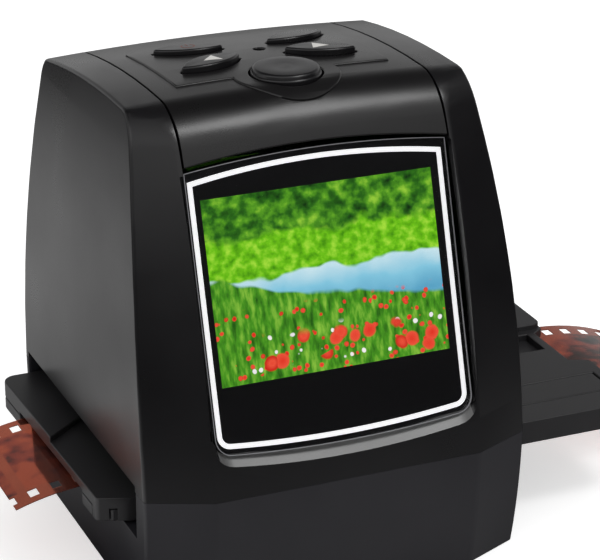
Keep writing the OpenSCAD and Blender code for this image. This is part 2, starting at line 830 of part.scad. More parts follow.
module tray_cover() {
    color(plastic) difference() {
        union() {
            difference() {
                tray_slab(tray_mid + leaf_gap, tray_z + tray_t);
                knuckles(0, 0.2);
            }
            knuckles(1, 0);
            intersection() {
                tray_slab(tray_z, tray_z + tray_t);
                front_rim(0);
            }
            intersection() {
                tray_slab(tray_z + tray_t - 0.5, tray_z + tray_t + raise_t);
                linear_extrude(BIG) polygon(concat(
                    [[-60, -12], [-45.6, -0.4], [-38, 5.8], [-36, 11]],
                    arc([tray_right - 3.7, 13.2], 2.2, 270, 360, 5),
                    [[tray_right - 1.5, 40], [-60, 40]]
                ));
            }
        }
        film_gate();
        film_channel();
        hinge_bores();
        box([-60, -21, 0], [leg_x, 18.5, bar_z]);
        box([tray_right - 13, 0.3, tray_z + tray_t - 1.6], [tray_right - 6.3, 9, 40]);
        detent_notch();
        box([tray_right - 3, -24.35, tray_z + tray_t - 0.6], [tray_right - 2.5, -15.05, 40]);
        for (y = [-24.2, -15.2]) box([42, y - 0.15, tray_z + tray_t - 0.3], [tray_right - 2.7, y + 0.15, 40]);
    }
}

module tray_hinge_pins() {
    color([0.8, 0.8, 0.8]) for (x = [-34, 10]) translate([x, hinge_y, tray_mid])
        rotate([0, 90, 0]) cylinder(r = pin_r, h = 24);
}

// Film: flat in the tray, curling down where it leaves it at both ends
film_left = -60;
film_len_flat = [-42, 75];
curl_r = [57, 50];
curl_a = [18.4, 36];
film_t = 0.14;

// Middle line of the film as [x, z]
function film_line(o) = concat(
    arc([film_len_flat[0], tray_mid - curl_r[0]], curl_r[0] + o, 90 + curl_a[0], 90, 8),
    arc([film_len_flat[1], tray_mid - curl_r[1]], curl_r[1] + o, 90, 90 - curl_a[1], 12)
);

module film_strip() {
    top = film_line(film_t / 2);
    low = film_line(-film_t / 2);
    n = len(top) - 1;
    color([0.55, 0.25, 0.2, 0.8]) difference() {
        translate([0, film_c + film_w / 2, 0]) rotate([90, 0, 0]) linear_extrude(film_w)
            polygon(concat(top, [for (i = [n:-1:0]) low[i]]));
        for (i = [0:perf_count - 1]) for (s = [-1, 1])
            translate([film_left + perf_pitch * i, film_c + s * 14, 12])
                linear_extrude(12) square([2, 2.8], center = true);
    }
}

// ======== Feet and fasteners ========

foot_r = 4;
foot_places = [[-28, -33], [28, -33], [-28, 24], [28, 24]];

module rubber_feet() {
    color([0.1, 0.1, 0.1]) for (p = foot_places) translate([p.x, p.y, 0]) cylinder(r = foot_r, h = 1.25);
}

module housing_screws() {
    color([0.6, 0.6, 0.62]) for (s = [-1, 1])
        translate([s * case_screw.x, case_screw.y, case_screw_z]) screw_up(30);
}

// Flush-headed screws that hold the tray guide down
module guide_screws() {
    color([0.6, 0.6, 0.62]) for (s = [-1, 1]) for (y = [guide_screw.y, -guide_screw.y])
        translate([s * guide_screw.x, y, 0]) {
            translate([0, 0, 10]) cylinder(r = screw_r, h = guide_floor[1] - 11.1);
            translate([0, 0, guide_floor[1] - 1.1]) cylinder(r1 = screw_r, r2 = head_r, h = 1);
        }
}

module board_screws() {
    color([0.6, 0.6, 0.62]) {
        for (p = board_posts) translate([p.x, p.y, board_z - 1.2]) screw_up(4);
        for (x = beam_posts) translate([x, beam_y[0] + 1.5, 88]) screw_up(8);
        stack_places() translate([0, 0, port_z]) rotate([180, 0, 0]) screw_up(3.4);
    }
}

// Spacers between the sensor board and the main board, each with a stud into the tower
module board_standoffs() {
    color([0.75, 0.65, 0.35]) stack_places() difference() {
        union() {
            translate([0, 0, sensor_z + board_t]) cylinder(r = 2.4, h = main_z - sensor_z - board_t, $fn = 6);
            translate([0, 0, sensor_z - 4]) cylinder(r = stud_r, h = 4 + board_t);
        }
        translate([0, 0, main_z - 2.6]) cylinder(r = screw_r, h = 5);
    }
}

main_housing();
top_cover();
rear_panel();
base_housing();
screen_window();
window_border();
screen_mask();
lcd_panel();
lcd_frame();
scan_button();
power_button();
ok_button();
left_button();
right_button();
status_light();
key_board();
key_switches();
main_board();
sensor_board();
sensor_chip();
optics_tower();
tower_plate();
lens_barrel();
lens_glass();
light_box();
light_diffuser();
light_board();
backlight_leds();
tray_guide();
detent_spring();
tray_base();
tray_cover();
tray_hinge_pins();
film_strip();
usb_port();
card_slot();
video_jack();
lcd_ribbon_cable();
rubber_feet();
housing_screws();
guide_screws();
board_screws();
board_standoffs();
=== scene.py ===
# %% [markdown]
# # A desktop film scanner
#
# The scanner is a black plastic body about ten centimetres tall. A sloped colour screen shows the
# picture, five keys and a status light sit on the top strip, and a tray carries a strip of
# negatives through the base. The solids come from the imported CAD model, which fixes every size
# and place. These cells give them rounded edges, moulded detail and finishes. Blender counts in
# metres, so a length in millimetres is multiplied by MM.

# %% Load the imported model
import math

import bmesh
import bpy
from mathutils import Euler, Matrix, Vector
from mathutils.bvhtree import BVHTree


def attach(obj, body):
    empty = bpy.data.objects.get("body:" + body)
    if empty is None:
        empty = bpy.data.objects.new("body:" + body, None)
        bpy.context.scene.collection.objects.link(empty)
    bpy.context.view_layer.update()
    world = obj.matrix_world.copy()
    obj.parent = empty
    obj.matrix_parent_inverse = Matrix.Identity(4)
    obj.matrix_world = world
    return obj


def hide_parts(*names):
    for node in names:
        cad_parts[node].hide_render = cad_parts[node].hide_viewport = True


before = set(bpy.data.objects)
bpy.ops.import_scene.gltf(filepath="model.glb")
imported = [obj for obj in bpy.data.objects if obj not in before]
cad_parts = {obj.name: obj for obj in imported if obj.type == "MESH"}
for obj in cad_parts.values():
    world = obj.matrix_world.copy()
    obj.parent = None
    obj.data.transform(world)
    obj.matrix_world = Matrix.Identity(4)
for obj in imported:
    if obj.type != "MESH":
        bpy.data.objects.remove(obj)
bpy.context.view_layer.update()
scene = bpy.context.scene
MM = 0.001

# %% [markdown]
# ## Camera
#
# Something this small is best shown with a long lens from about half a metre. A long lens keeps
# upright edges nearly parallel. The camera stands to the left and looks a little down, so that
# the screen, the keys and both ends of the tray show. An Euler turn in XYZ order says it plainly:
# X is the tilt up from straight down, and Z is the turn round the upright axis. The Standard view
# transform shows a colour as it is written, so that white comes out as white.

# %% Camera
LOOK_DOWN, LOOK_TURN = 22.436, -22.996
CAMERA_PLACE = (-0.1791, -0.4450, 0.2485)
camera_data = bpy.data.cameras.new("studio_camera")
camera_data.lens, camera_data.sensor_width = 147.4, 36
camera_data.clip_start, camera_data.clip_end = 0.02, 20
camera = bpy.data.objects.new("studio_camera", camera_data)
camera.location = CAMERA_PLACE
camera.rotation_euler = Euler((math.radians(90 - LOOK_DOWN), 0, math.radians(LOOK_TURN)))
scene.collection.objects.link(camera)
scene.camera = camera
scene.view_settings.view_transform = "Standard"
print("camera at", tuple(camera.location), "lens", camera_data.lens)

# %% [markdown]
# ## Node helpers
#
# A material is a graph of nodes. Written out one by one the graphs get long, so a few helpers make
# a node, set its inputs and return the socket that carries its result. An input is either a plain
# value, which goes on the socket itself, or another node's output, which gets a link.


# %% Helpers that wire material nodes
class Graph:
    """The node tree of one material or world, with short calls for the nodes used here."""

    def __init__(self, owner):
        owner.use_nodes = True
        self.tree = owner.node_tree
        self.coordinates = self.node("ShaderNodeTexCoord").outputs
        self.place = self.coordinates["Object"]

    def feed(self, inputs, values):
        """Fills inputs by name or number, each with a plain value or with a link."""
        for key, value in values.items():
            if isinstance(value, bpy.types.NodeSocket):
                self.tree.links.new(value, inputs[key])
            else:
                inputs[key].default_value = value

    def shade(self, values):
        """Fills inputs of the material's Principled shader."""
        self.feed(self.tree.nodes["Principled BSDF"].inputs, values)

    def surface(self, shader):
        """Sends a shader that was built from several to the material's output."""
        self.feed(self.tree.nodes["Material Output"].inputs, {"Surface": shader})

    def node(self, kind, values=None, **settings):
        n = self.tree.nodes.new(kind)
        for key, value in settings.items():
            setattr(n, key, value)
        self.feed(n.inputs, values or {})
        return n

    def maths(self, operation, a, b=0.0, c=0.0):
        return self.node("ShaderNodeMath", {0: a, 1: b, 2: c}, operation=operation).outputs[0]

    def noise(self, size, detail=2.0, place=None):
        values = {"Vector": place or self.place, "Scale": 1 / size, "Detail": detail}
        return self.node("ShaderNodeTexNoise", values).outputs["Fac"]

    def mix(self, share, a, b):
        """A colour that goes from a to b as the share goes from 0 to 1."""
        return self.node("ShaderNodeMix", {0: share, 6: a, 7: b}, data_type="RGBA").outputs[2]

    def blend(self, share, a, b):
        """A plain number that goes from a to b as the share goes from 0 to 1."""
        return self.node("ShaderNodeMix", {0: share, 2: a, 3: b}).outputs[0]

    def span(self, value, low, high, to_low=0.0, to_high=1.0, smooth=False):
        """Maps low to high onto another range, and stops at its ends."""
        kind = "SMOOTHSTEP" if smooth else "LINEAR"
        values = {"Value": value, "From Min": low, "From Max": high,
                  "To Min": to_low, "To Max": to_high}
        return self.node("ShaderNodeMapRange", values, interpolation_type=kind).outputs[0]

    def ramp(self, value, stops):
        """Colours along a scale from 0 to 1."""
        n = self.node("ShaderNodeValToRGB", {"Fac": value})
        while len(n.color_ramp.elements) < len(stops):
            n.color_ramp.elements.new(0.5)
        for element, (at, colour) in zip(n.color_ramp.elements, stops):
            element.position, element.color = at, colour
        return n.outputs["Color"]

    def levels(self, value, stops):
        """A ramp of plain numbers, for strengths."""
        return self.ramp(value, [(at, (level, level, level, 1)) for at, level in stops])

    def split(self, vector):
        return self.node("ShaderNodeSeparateXYZ", {0: vector}).outputs

    def bump(self, height, depth, strength):
        values = {"Height": height, "Distance": depth, "Strength": strength}
        return self.node("ShaderNodeBump", values).outputs["Normal"]


# %% [markdown]
# ## Colours and new finishes
#
# Colours are picked on a screen as 0 to 255, but light adds up in linear values, and those are
# what a shader wants. One function turns the first into the second. Most finishes here are one
# Principled shader. The window and the screen are built from several, so they start without it.


# %% Helpers that start a finish
def rgb(r, g, b):
    """A colour given as it looks on a screen, as the linear values that Blender wants."""
    shares = [c / 255 for c in (r, g, b)]
    linear = [s / 12.92 if s <= 10 / 255 else ((s + 0.055) / 1.055) ** 2.4 for s in shares]
    return (*linear, 1.0)


def new_finish(name):
    """An empty material and its graph."""
    finish = bpy.data.materials.new(name)
    return finish, Graph(finish)


def bare_finish(name):
    """A material without a shader, and its graph."""
    finish, graph = new_finish(name)
    graph.tree.nodes.remove(graph.tree.nodes["Principled BSDF"])
    return finish, graph


def mottled(name, size, detail, dark, light, values):
    """A finish whose colour drifts between two shades, in spots of about the given size."""
    finish, graph = new_finish(name)
    graph.shade({"Base Color": graph.mix(graph.noise(size, detail), dark, light), **values})
    return finish


print("screen grey 128 is linear", round(rgb(128, 128, 128)[0], 3))

# %% [markdown]
# ## Studio surroundings
#
# White surroundings are what makes black plastic readable: seen at a slant it mirrors the white
# backdrop, and seen head on it stays dark. Cards could be hung up as meshes. A world that is
# bright in some directions and dark in others does the same and stands in nobody's way. Each card
# is a list of heights and brightnesses. Light Path nodes let the camera and glass see a white
# studio, while the light that falls on the object stays at a plain level.

# %% World
REAR_CARD = [(0, 0.6), (0.12, 0.74), (0.22, 0.62), (0.36, 0.34), (0.5, 0.2), (0.64, 0.03),
             (1, 0.03)]
FRONT_CARD = [(0.2, 0.03), (0.32, 0.35), (0.43, 0.75), (0.6, 0.8), (0.8, 0.7), (1, 0.3)]
PLAIN_LEVEL, WHITE = 0.7, (1, 1, 1, 1)

world = bpy.data.worlds.new("studio_world")
scene.world = world
air = Graph(world)
rays = air.node("ShaderNodeLightPath").outputs
heading = air.split(air.coordinates["Generated"])
seen = air.maths("MAXIMUM", rays["Is Camera Ray"], rays["Is Transmission Ray"])
behind = air.span(heading["Y"], -0.15, 0.15, smooth=True)
to_left = air.span(heading["X"], 0.35, 0.9, 1.2, 0.05)
front = air.maths("MULTIPLY", air.levels(heading["Z"], FRONT_CARD), to_left)
mirrored = air.blend(behind, front, air.levels(heading["Z"], REAR_CARD))
ambient = air.blend(rays["Is Glossy Ray"], PLAIN_LEVEL, mirrored)
strength = air.blend(seen, ambient, 1.0)
air.feed(air.tree.nodes["Background"].inputs, {"Color": WHITE, "Strength": strength})
print("cards of", len(FRONT_CARD), "and", len(REAR_CARD), "steps")

# %% [markdown]
# ## Floor
#
# The floor is a pale sheet that catches the object's shadow. Low, slanting surfaces such as the
# base and the tray mirror the floor and not the backdrop. So the floor is dark to reflections,
# apart from a few soft pools of light where those surfaces need one to be read.

# %% Floor
floor_mesh = bpy.data.meshes.new("studio_floor")
bm = bmesh.new()
bmesh.ops.create_grid(bm, x_segments=1, y_segments=1, size=4)
bm.to_mesh(floor_mesh)
bm.free()
floor = bpy.data.objects.new("studio_floor", floor_mesh)
scene.collection.objects.link(floor)
floor_finish, graph = new_finish("floor_white")
floor_mesh.materials.append(floor_finish)


def pool(x, y, inner, outer, level):
    """Light on the floor round a point: level out to the inner radius, nothing past the outer."""
    away = graph.node("ShaderNodeVectorMath", {0: graph.place, 1: (x, y, 0)}, operation="DISTANCE")
    return graph.span(away.outputs["Value"], inner, outer, level, 0.0)


floor_x, floor_y, _ = graph.split(graph.place)
before_body, left_of_body = graph.span(floor_y, -0.02, -0.06), graph.span(floor_x, -0.06, -0.075)
front_pool = graph.maths("MULTIPLY", pool(0, 0, 0.06, 0.27, 0.35), before_body)
left_pool = graph.maths("MULTIPLY", pool(-0.1, -0.01, 0.04, 0.1, 1.0), left_of_body)
rear_pool = pool(-0.04, 0.23, 0.1, 0.24, 0.7)
pools = graph.maths("ADD", graph.maths("ADD", front_pool, left_pool), rear_pool)

rays = graph.node("ShaderNodeLightPath").outputs
mirrors = rays["Is Glossy Ray"]
seen = graph.maths("MAXIMUM", rays["Is Camera Ray"], rays["Is Transmission Ray"])
graph.shade({
    "Base Color": graph.mix(mirrors, (0.8, 0.8, 0.8, 1), (0.01, 0.01, 0.01, 1)),
    "Roughness": 0.9,
    "Specular IOR Level": 0.1,
    "Emission Color": WHITE,
    "Emission Strength": graph.maths("MULTIPLY_ADD", seen, 0.55,
                                     graph.maths("MULTIPLY", pools, mirrors))})
print("floor", tuple(floor.dimensions), "m")

# %% [markdown]
# ## Soft boxes
#
# A small lamp overhead draws the bright band along the front top corner and lights the ledge below
# the window. A weak one on the left lifts the side wall. A lamp's power is easier to choose as the
# brightness of its face, because that stays the same when the lamp is made larger.


# %% Soft boxes
def soft_box(name, place, size, radiance, aim):
    """A square lamp at place that faces aim. Power follows from the radiance and its area."""
    data = bpy.data.lights.new(name, "AREA")
    data.shape, data.size, data.size_y = "RECTANGLE", *size
    data.energy = math.pi * size[0] * size[1] * radiance
    lamp = bpy.data.objects.new(name, data)
    lamp.location = place
    lamp.rotation_euler = (Vector(aim) - Vector(place)).to_track_quat("-Z", "Y").to_euler()
    scene.collection.objects.link(lamp)
    print(name, round(data.energy, 3), "W")


soft_box("soft_box_top", (0.2, -0.235, 0.6), (0.24, 0.15), 8.5, aim=(0, 0, 0.05))
soft_box("soft_box_left", (-0.62, 0.0, 0.42), (0.4, 0.3), 0.8, aim=(0, 0, 0.06))

# %% [markdown]
# ## Satin black plastic
#
# The shells are injection moulded ABS with a fine spark-eroded texture. Its colour is nearly
# black. What the eye reads is the gloss: soft, a little uneven, and stronger at a slant. Two noise
# textures carry that. A coarse one drifts colour and roughness over centimetres, as moulding
# does, and a fine one of about a third of a millimetre is the texture itself, as a shallow bump.

# %% Plastic finishes
DRIFT_SIZE, GRAIN_SIZE = 22 * MM, 0.34 * MM


def moulded_plastic(name, dark, light, gloss=(0.25, 0.31), depth=0.012 * MM, shine=0.5):
    """Satin moulded plastic between two colours, with a fine texture of the given depth."""
    finish, graph = new_finish(name)
    drift, texture = graph.noise(DRIFT_SIZE, 3), graph.noise(GRAIN_SIZE, 1)
    even = graph.span(drift, 0.3, 0.7, *gloss)
    graph.shade({
        "Base Color": graph.mix(graph.span(drift, 0.35, 0.65), dark, light),
        "Roughness": graph.maths("MULTIPLY_ADD", texture, 0.04, even),
        "Normal": graph.bump(texture, depth, 0.5),
        "Specular IOR Level": shine})
    return finish


housing_black = moulded_plastic("housing_black", rgb(17, 16, 18), rgb(21, 20, 22))
cover_black = moulded_plastic("cover_black", rgb(17, 16, 17), rgb(21, 20, 21))
base_black = moulded_plastic("base_black", rgb(33, 32, 37), rgb(38, 37, 42), (0.4, 0.48))
key_black = moulded_plastic("key_black", rgb(19, 18, 20), rgb(23, 22, 24), (0.24, 0.3),
                            depth=0.006 * MM)
tray_black = moulded_plastic("tray_black", rgb(33, 32, 34), rgb(40, 39, 41), (0.36, 0.44))
inner_black = moulded_plastic("inner_black", rgb(17, 17, 18), rgb(22, 22, 23), (0.55, 0.65))
inner_white = moulded_plastic("inner_white", rgb(222, 222, 218), rgb(232, 232, 230), (0.4, 0.5))
foot_rubber = moulded_plastic("foot_rubber", rgb(24, 24, 24), rgb(34, 34, 34), (0.7, 0.85),
                              depth=0.05 * MM)
print("black plastics:", [m.name for m in bpy.data.materials if "_black" in m.name])

# %% [markdown]
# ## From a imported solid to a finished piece
#
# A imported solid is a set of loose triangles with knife-sharp edges. Real mouldings have a small
# radius on every outer edge, and that radius is what catches the light. A Bevel modifier would
# round by angle alone. Here a copy of the mesh is merged, its flat faces are joined again, and
# only chosen edges are bevelled. Faces are then shaded smooth, with the edges that stay sharp
# marked as such.


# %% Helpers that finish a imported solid
def merged_copy(node):
    """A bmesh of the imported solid, welded, with triangles in one plane joined to one face."""
    bm = bmesh.new()
    bm.from_mesh(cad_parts[node].data)
    bmesh.ops.remove_doubles(bm, verts=bm.verts, dist=0.001 * MM)
    bmesh.ops.dissolve_limit(bm, angle_limit=math.radians(0.3), verts=bm.verts, edges=bm.edges)
    return bm


def outer_edges(bm, turn, keep=lambda p, n: True):
    """Convex edges on the outside where the surface turns by that many degrees or more.

    An edge is on the outside where nothing of the piece stands in front of it. keep() gets the
    edge's middle in millimetres and the headings of its two faces.
    """
    skin = BVHTree.FromBMesh(bm)
    found = []
    for e in bm.edges:
        if not (e.is_manifold and e.is_convex and e.calc_face_angle() > math.radians(turn)):
            continue
        middle = (e.verts[0].co + e.verts[1].co) / 2
        headings = [f.normal.copy() for f in e.link_faces]
        outward = (headings[0] + headings[1]).normalized()
        hidden = skin.ray_cast(middle + outward * 0.05 * MM, outward)[0] is not None
        if not hidden and keep(middle / MM, headings):
            found.append(e)
    return found


def round_over(bm, edges, width, steps):
    """Rounds those edges. Every setting is given, because the defaults differ from the editor's."""
    bmesh.ops.bevel(bm, geom=edges, offset=width * MM, offset_type="OFFSET", segments=steps,
                    profile=0.5, affect="EDGES", clamp_overlap=False, material=-1)


def add_piece(bm, name, body, finish, stands_for=(), crease=32, weigh=True):
    """Makes the bmesh an object with its finish, lets it ride on its body, and says its size."""
    for f in bm.faces:
        f.smooth = True
    for e in bm.edges:
        e.smooth = e.is_manifold and e.calc_face_angle() < math.radians(crease)
    mesh = bpy.data.meshes.new(name)
    bm.to_mesh(mesh)
    bm.free()
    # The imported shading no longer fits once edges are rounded.
    for stale in [a for a in mesh.attributes if a.name == "custom_normal"]:
        mesh.attributes.remove(stale)
    mesh.materials.clear()
    mesh.materials.append(finish)
    piece = bpy.data.objects.new(name, mesh)
    scene.collection.objects.link(piece)
    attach(piece, body)
    if stands_for:
        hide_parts(*stands_for)
    if weigh:
        even = piece.modifiers.new("even_shading", "WEIGHTED_NORMAL")
        even.keep_sharp = True
    spreads = [[v.co[i] / MM for v in mesh.vertices] for i in range(3)]
    size = [round(max(spread) - min(spread), 1) for spread in spreads]
    print(f"{name}: {len(mesh.polygons)} faces, {size} mm")
    return piece


# %% [markdown]
# ## Upper housing
#
# The housing is the tall shell that carries the window and the top strip. Its long corners
# between side wall and front facet get a radius of 0.7 mm, which draws one thin line of light
# down each of them. The parting line and the strip's opening get a radius of 0.12 mm, just enough
# to set off the dark gap. Two sets of corners are pushed outwards first: the left side of the
# window opening, and the skin on both sides of the top strip, so that its seam reads as a line.
# Only the outer skin moves there, because a gap through the whole wall would let light shine
# through the body.

# %% Upper housing
WINDOW_SIDE, WINDOW_EXTRA = 28.35, 0.6
STRIP_SIDE, SEAM_EXTRA = 27.82, 0.3
STRIP_FOOT, PARTING_LINE = 88.8, 29
BODY_MIDDLE = Vector((0, 0, 0.05))


def on_outer_skin(v):
    """Whether a corner belongs to a face that looks up or ahead, away from the body's middle."""
    return any(abs(f.normal.x) < 0.5 and f.normal.dot(v.co - BODY_MIDDLE) > 0
               for f in v.link_faces)


def long_corner(p, n):
    return p.z > 28.2 and abs(p.x) > 35 and abs(n[0].x - n[1].x) > 0.1


def shell_seam(p, n):
    return p.z < PARTING_LINE or (p.z > STRIP_FOOT and abs(p.x) < 28.3)


bm = merged_copy("main_housing")
for v in bm.verts:
    x, y, z = v.co / MM
    if abs(x + WINDOW_SIDE) < 0.02 and y < -20 and z < STRIP_FOOT:
        v.co.x -= WINDOW_EXTRA * MM
    elif abs(abs(x) - STRIP_SIDE) < 0.02 and z > 85 and on_outer_skin(v):
        v.co.x += math.copysign(SEAM_EXTRA * MM, x)
round_over(bm, outer_edges(bm, 8, long_corner), 0.7, 4)
round_over(bm, outer_edges(bm, 38, shell_seam), 0.12, 2)
housing = add_piece(bm, "housing_shell", "housing", housing_black,
                    ["main_housing"])

# %% [markdown]
# ## Ledge below the window
#
# A narrow ledge runs below the window. It slopes up to the light, and the lamp's reflection on
# it is a painted highlight: a grey skin, far paler and glossier than the shell, stands in for it.
# A second material on the shell would do, but a thin skin keeps the shell in one piece: the
# ledge's faces are copied and lifted by a hundredth of a millimetre.

# %% Ledge skin with a painted highlight
LEDGE_OUT, LEDGE_LIFT = Vector((0, -0.672, 0.741)), 0.015 * MM


def on_ledge(f):
    middle = f.calc_center_median() / MM
    return f.normal.z > 0.62 and f.normal.y < -0.5 and middle.y < -44 and middle.z < 42


# Painted highlight: a pale grey, very glossy finish stands in for the lamp's reflection on the
# black ledge.
ledge_painted_highlight = moulded_plastic("ledge_painted_highlight", rgb(74, 74, 74), rgb(84, 84, 84), (0.34, 0.4),
                              depth=0.02 * MM, shine=1.0)
bm = bmesh.new()
bm.from_mesh(housing.data)
bmesh.ops.delete(bm, geom=[f for f in bm.faces if not on_ledge(f)], context="FACES")
bmesh.ops.translate(bm, verts=bm.verts, vec=LEDGE_OUT * LEDGE_LIFT)
add_piece(bm, "ledge_highlight_skin", "housing", ledge_painted_highlight)

# %% [markdown]
# ## Top strip
#
# The strip bends over the top of the body and carries the raised pad with the keys. Its front lip
# hangs over the upper edge of the window. The lip is drawn up by a millimetre to meet the pane's
# bow, then rounded so that it ends in a soft line of light. The pad, the key holes and the long
# sides of the strip get smaller radii.

# %% Top strip
LIP_UP, LIP_TRIM = Vector((0, 0.41, 0.91)), 1.05 * MM


def lip_edge(p, n):
    return p.y < -29 and p.z < 93 and min(n[0].z, n[1].z) < -0.8


def pad_edge(p, n):
    return p.z > 97 and max(n[0].z, n[1].z) > 0.9 and abs(p.x) < 27


def strip_side(p, n):
    return p.z > 93 and abs(p.x) > 27.5


bm = merged_copy("top_cover")
lip_faces = [f for f in bm.faces if f.normal.z < -0.9 and f.calc_center_median().y < -29 * MM]
for v in {v for f in lip_faces for v in f.verts}:
    v.co += LIP_UP * (LIP_TRIM - 0.01 * v.co.x)
for turn, keep, width, steps in ((60, lip_edge, 0.3, 4), (30, pad_edge, 0.3, 3),
                                 (30, strip_side, 0.15, 2)):
    round_over(bm, outer_edges(bm, turn, keep), width, steps)
add_piece(bm, "top_strip", "housing", cover_black, ["top_cover"])

# %% [markdown]
# ## Rear plate and base
#
# The rear plate is a flat moulding that holds the sockets, and the base is the tub below the
# parting line, with a slot for the tray at each end. The base's long corners get the same radius
# as the housing's, so the line of light runs on past the joint. Its plastic is a shade paler and
# duller.


# %% Rear plate and base
def base_corner(p, n):
    return abs(p.x) > 28.2 and abs(n[0].x - n[1].x) > 0.3 and abs(n[0].z + n[1].z) < 0.5


bm = merged_copy("rear_panel")
round_over(bm, outer_edges(bm, 40, lambda p, n: p.y > 30), 0.2, 2)
add_piece(bm, "rear_plate", "housing", housing_black, ["rear_panel"])
bm = merged_copy("base_housing")
round_over(bm, outer_edges(bm, 15, base_corner), 0.7, 4)
round_over(bm, outer_edges(bm, 38), 0.18, 2)
add_piece(bm, "base_tub", "housing", base_black, ["base_housing"])

# %% [markdown]
# ## Window glass
#
# The window is one clear pane over the screen. A pane this thin bends nothing, so its shader is a
# mirror over a see-through surface, mixed by Fresnel. A refracting glass would look the same and
# would keep the lamps off the print behind it. Slow noise in the roughness is wear from wiping.

# %% Window glass
window_clear, graph = bare_finish("window_clear")
wear = graph.span(graph.noise(9 * MM, 4), 0.3, 0.7, 0.04, 0.09)
gloss = graph.node("ShaderNodeBsdfGlossy", {"Color": WHITE, "Roughness": wear})
clear = graph.node("ShaderNodeBsdfTransparent", {"Color": (0.985, 0.985, 0.99, 1)})
share = graph.node("ShaderNodeFresnel", {"IOR": 1.33})
glass = graph.node("ShaderNodeMixShader", {0: share.outputs[0], 1: clear.outputs[0],
                                           2: gloss.outputs[0]})
graph.surface(glass.outputs[0])
print("window finish:", window_clear.name)

# %% [markdown]
# ## Window pane
#
# The pane, its rim, the white line and the black mask are all sheets in one sloping plane, with
# rounded lower corners and bowed lower and upper edges. It is simplest to draw each of them flat,
# in millimetres across and up, and to lean it back afterwards with one matrix. The pane is such a
# sheet, drawn up into a plate of 1.2 mm.

# %% Sheets in the screen's plane
SCREEN_LEAN, SCREEN_FOOT = 16.8, Vector((0, -46.74, 37.25))
PANE = {"sides": (-27.65, 27.65), "ends": (-1.48, 53.65), "bows": (1.5, 1.75), "corner": 3.2}
PANE_THICKNESS = 1.2
lean = math.radians(SCREEN_LEAN)
up_screen = Vector((0, math.sin(lean), math.cos(lean)))
out_of_screen = Vector((0, -up_screen.z, up_screen.y))


def window_sheet(sides, ends, bows, corner):
    """A flat sheet: rounded lower corners, and a lower and an upper edge that bow outwards."""
    bm = bmesh.new()
    bmesh.ops.create_grid(bm, x_segments=1, y_segments=1, size=0.5)
    bmesh.ops.scale(bm, verts=bm.verts, vec=(sides[1] - sides[0], ends[1] - ends[0], 1))
    bmesh.ops.translate(bm, verts=bm.verts, vec=(sum(sides) / 2, sum(ends) / 2, 0))
    low = [v for v in bm.verts if v.co.y < 10]
    bmesh.ops.bevel(bm, geom=low, offset=corner, offset_type="OFFSET", segments=6, profile=0.5,
                    affect="VERTICES", material=-1)
    long_edges = [e for e in bm.edges if abs(e.verts[0].co.x - e.verts[1].co.x) > 40]
    bmesh.ops.subdivide_edges(bm, edges=long_edges, cuts=20)
    for v in bm.verts:
        bow = 1 - (v.co.x / sides[1]) ** 2
        v.co.y += bows[1] * bow if v.co.y > 25 else -bows[0] * bow
    return bm


def onto_screen(bm, depth):
    """Moves a drawing from millimetres on the flat to its place on the leaning screen."""
    bmesh.ops.translate(bm, verts=bm.verts, vec=(0, 0, depth))
    turn = Matrix((Vector((1, 0, 0)), up_screen, out_of_screen)).transposed().to_4x4()
    place = Matrix.Translation(SCREEN_FOOT * MM) @ turn @ Matrix.Scale(MM, 4)
    bmesh.ops.transform(bm, matrix=place, verts=bm.verts)


def draw_up(bm, height):
    """Pulls a flat sheet up into a plate of that height, closed all round."""
    raised = bmesh.ops.extrude_face_region(bm, geom=bm.faces[:])["geom"]
    corners = [v for v in raised if isinstance(v, bmesh.types.BMVert)]
    bmesh.ops.translate(bm, verts=corners, vec=(0, 0, height))
    bmesh.ops.recalc_face_normals(bm, faces=bm.faces)


bm = window_sheet(**PANE)
draw_up(bm, PANE_THICKNESS)
onto_screen(bm, -PANE_THICKNESS)
add_piece(bm, "window_pane", "housing", window_clear, ["screen_window"])

# %% [markdown]
# ## Painted light edge of the pane
#
# The cut edge of a clear pane gathers light and shows as a fine grey line all the way round. It
# could come from refraction, which is slow to render for a line this thin. Here that light is a
# painted highlight, a grey ring: the pane's sheet is inset by its width, all but the ring is
# deleted, and a Solidify modifier gives it a thickness.


# %% Window rim, a painted highlight
def keep_ring(bm, width):
    """Leaves only a ring of that width along the sheet's edge."""
    ring = bmesh.ops.inset_region(bm, faces=bm.faces[:], thickness=width, use_boundary=True,
                                  use_even_offset=True)["faces"]
    bmesh.ops.delete(bm, geom=[f for f in bm.faces if f not in ring], context="FACES")


def thicken(piece, thickness):
    """Gives a sheet a thickness in millimetres, downwards from where it lies."""
    layer = piece.modifiers.new("thickness", "SOLIDIFY")
    layer.thickness, layer.offset = thickness * MM, -1


# Painted highlight: a mottled grey that stands in for light caught in the pane's cut edge.
pane_edge_highlight = mottled("pane_edge_highlight", 2 * MM, 2, rgb(118, 118, 122), rgb(158, 158, 162),
                      {"Roughness": 0.2})
bm = window_sheet(**PANE)
keep_ring(bm, 0.17)
onto_screen(bm, 0.02)
rim = add_piece(bm, "window_rim_highlight", "housing", pane_edge_highlight, weigh=False)
thicken(rim, 0.25)

# %% [markdown]
# ## White line and black mask
#
# The back of the pane is printed: a white line a millimetre wide, and a black mask that leaves
# only the picture open. The line is a ring again. For the mask the pane's sheet is cut along the
# picture's four sides with bisect_plane, and what lies between the cuts is deleted. A painted
# glow, a little emission in the white ink, keeps the white line white behind the glass.

# %% Inks, white line and black mask
PICTURE_SIZE, PICTURE_MIDDLE = (48.96, 36.72), 29.7
WHITE_LINE = {"sides": (-26.75, 27.1), "ends": (-0.35, 51.7), "bows": (1.55, 2.3), "corner": 2.4}


def printed_ink(name, size, dark, light, values):
    """Ink that covers a little unevenly."""
    finish, graph = new_finish(name)
    coverage = graph.span(graph.noise(size, 2), 0.3, 0.7)
    graph.shade({"Base Color": graph.mix(coverage, dark, light), **values})
    return finish
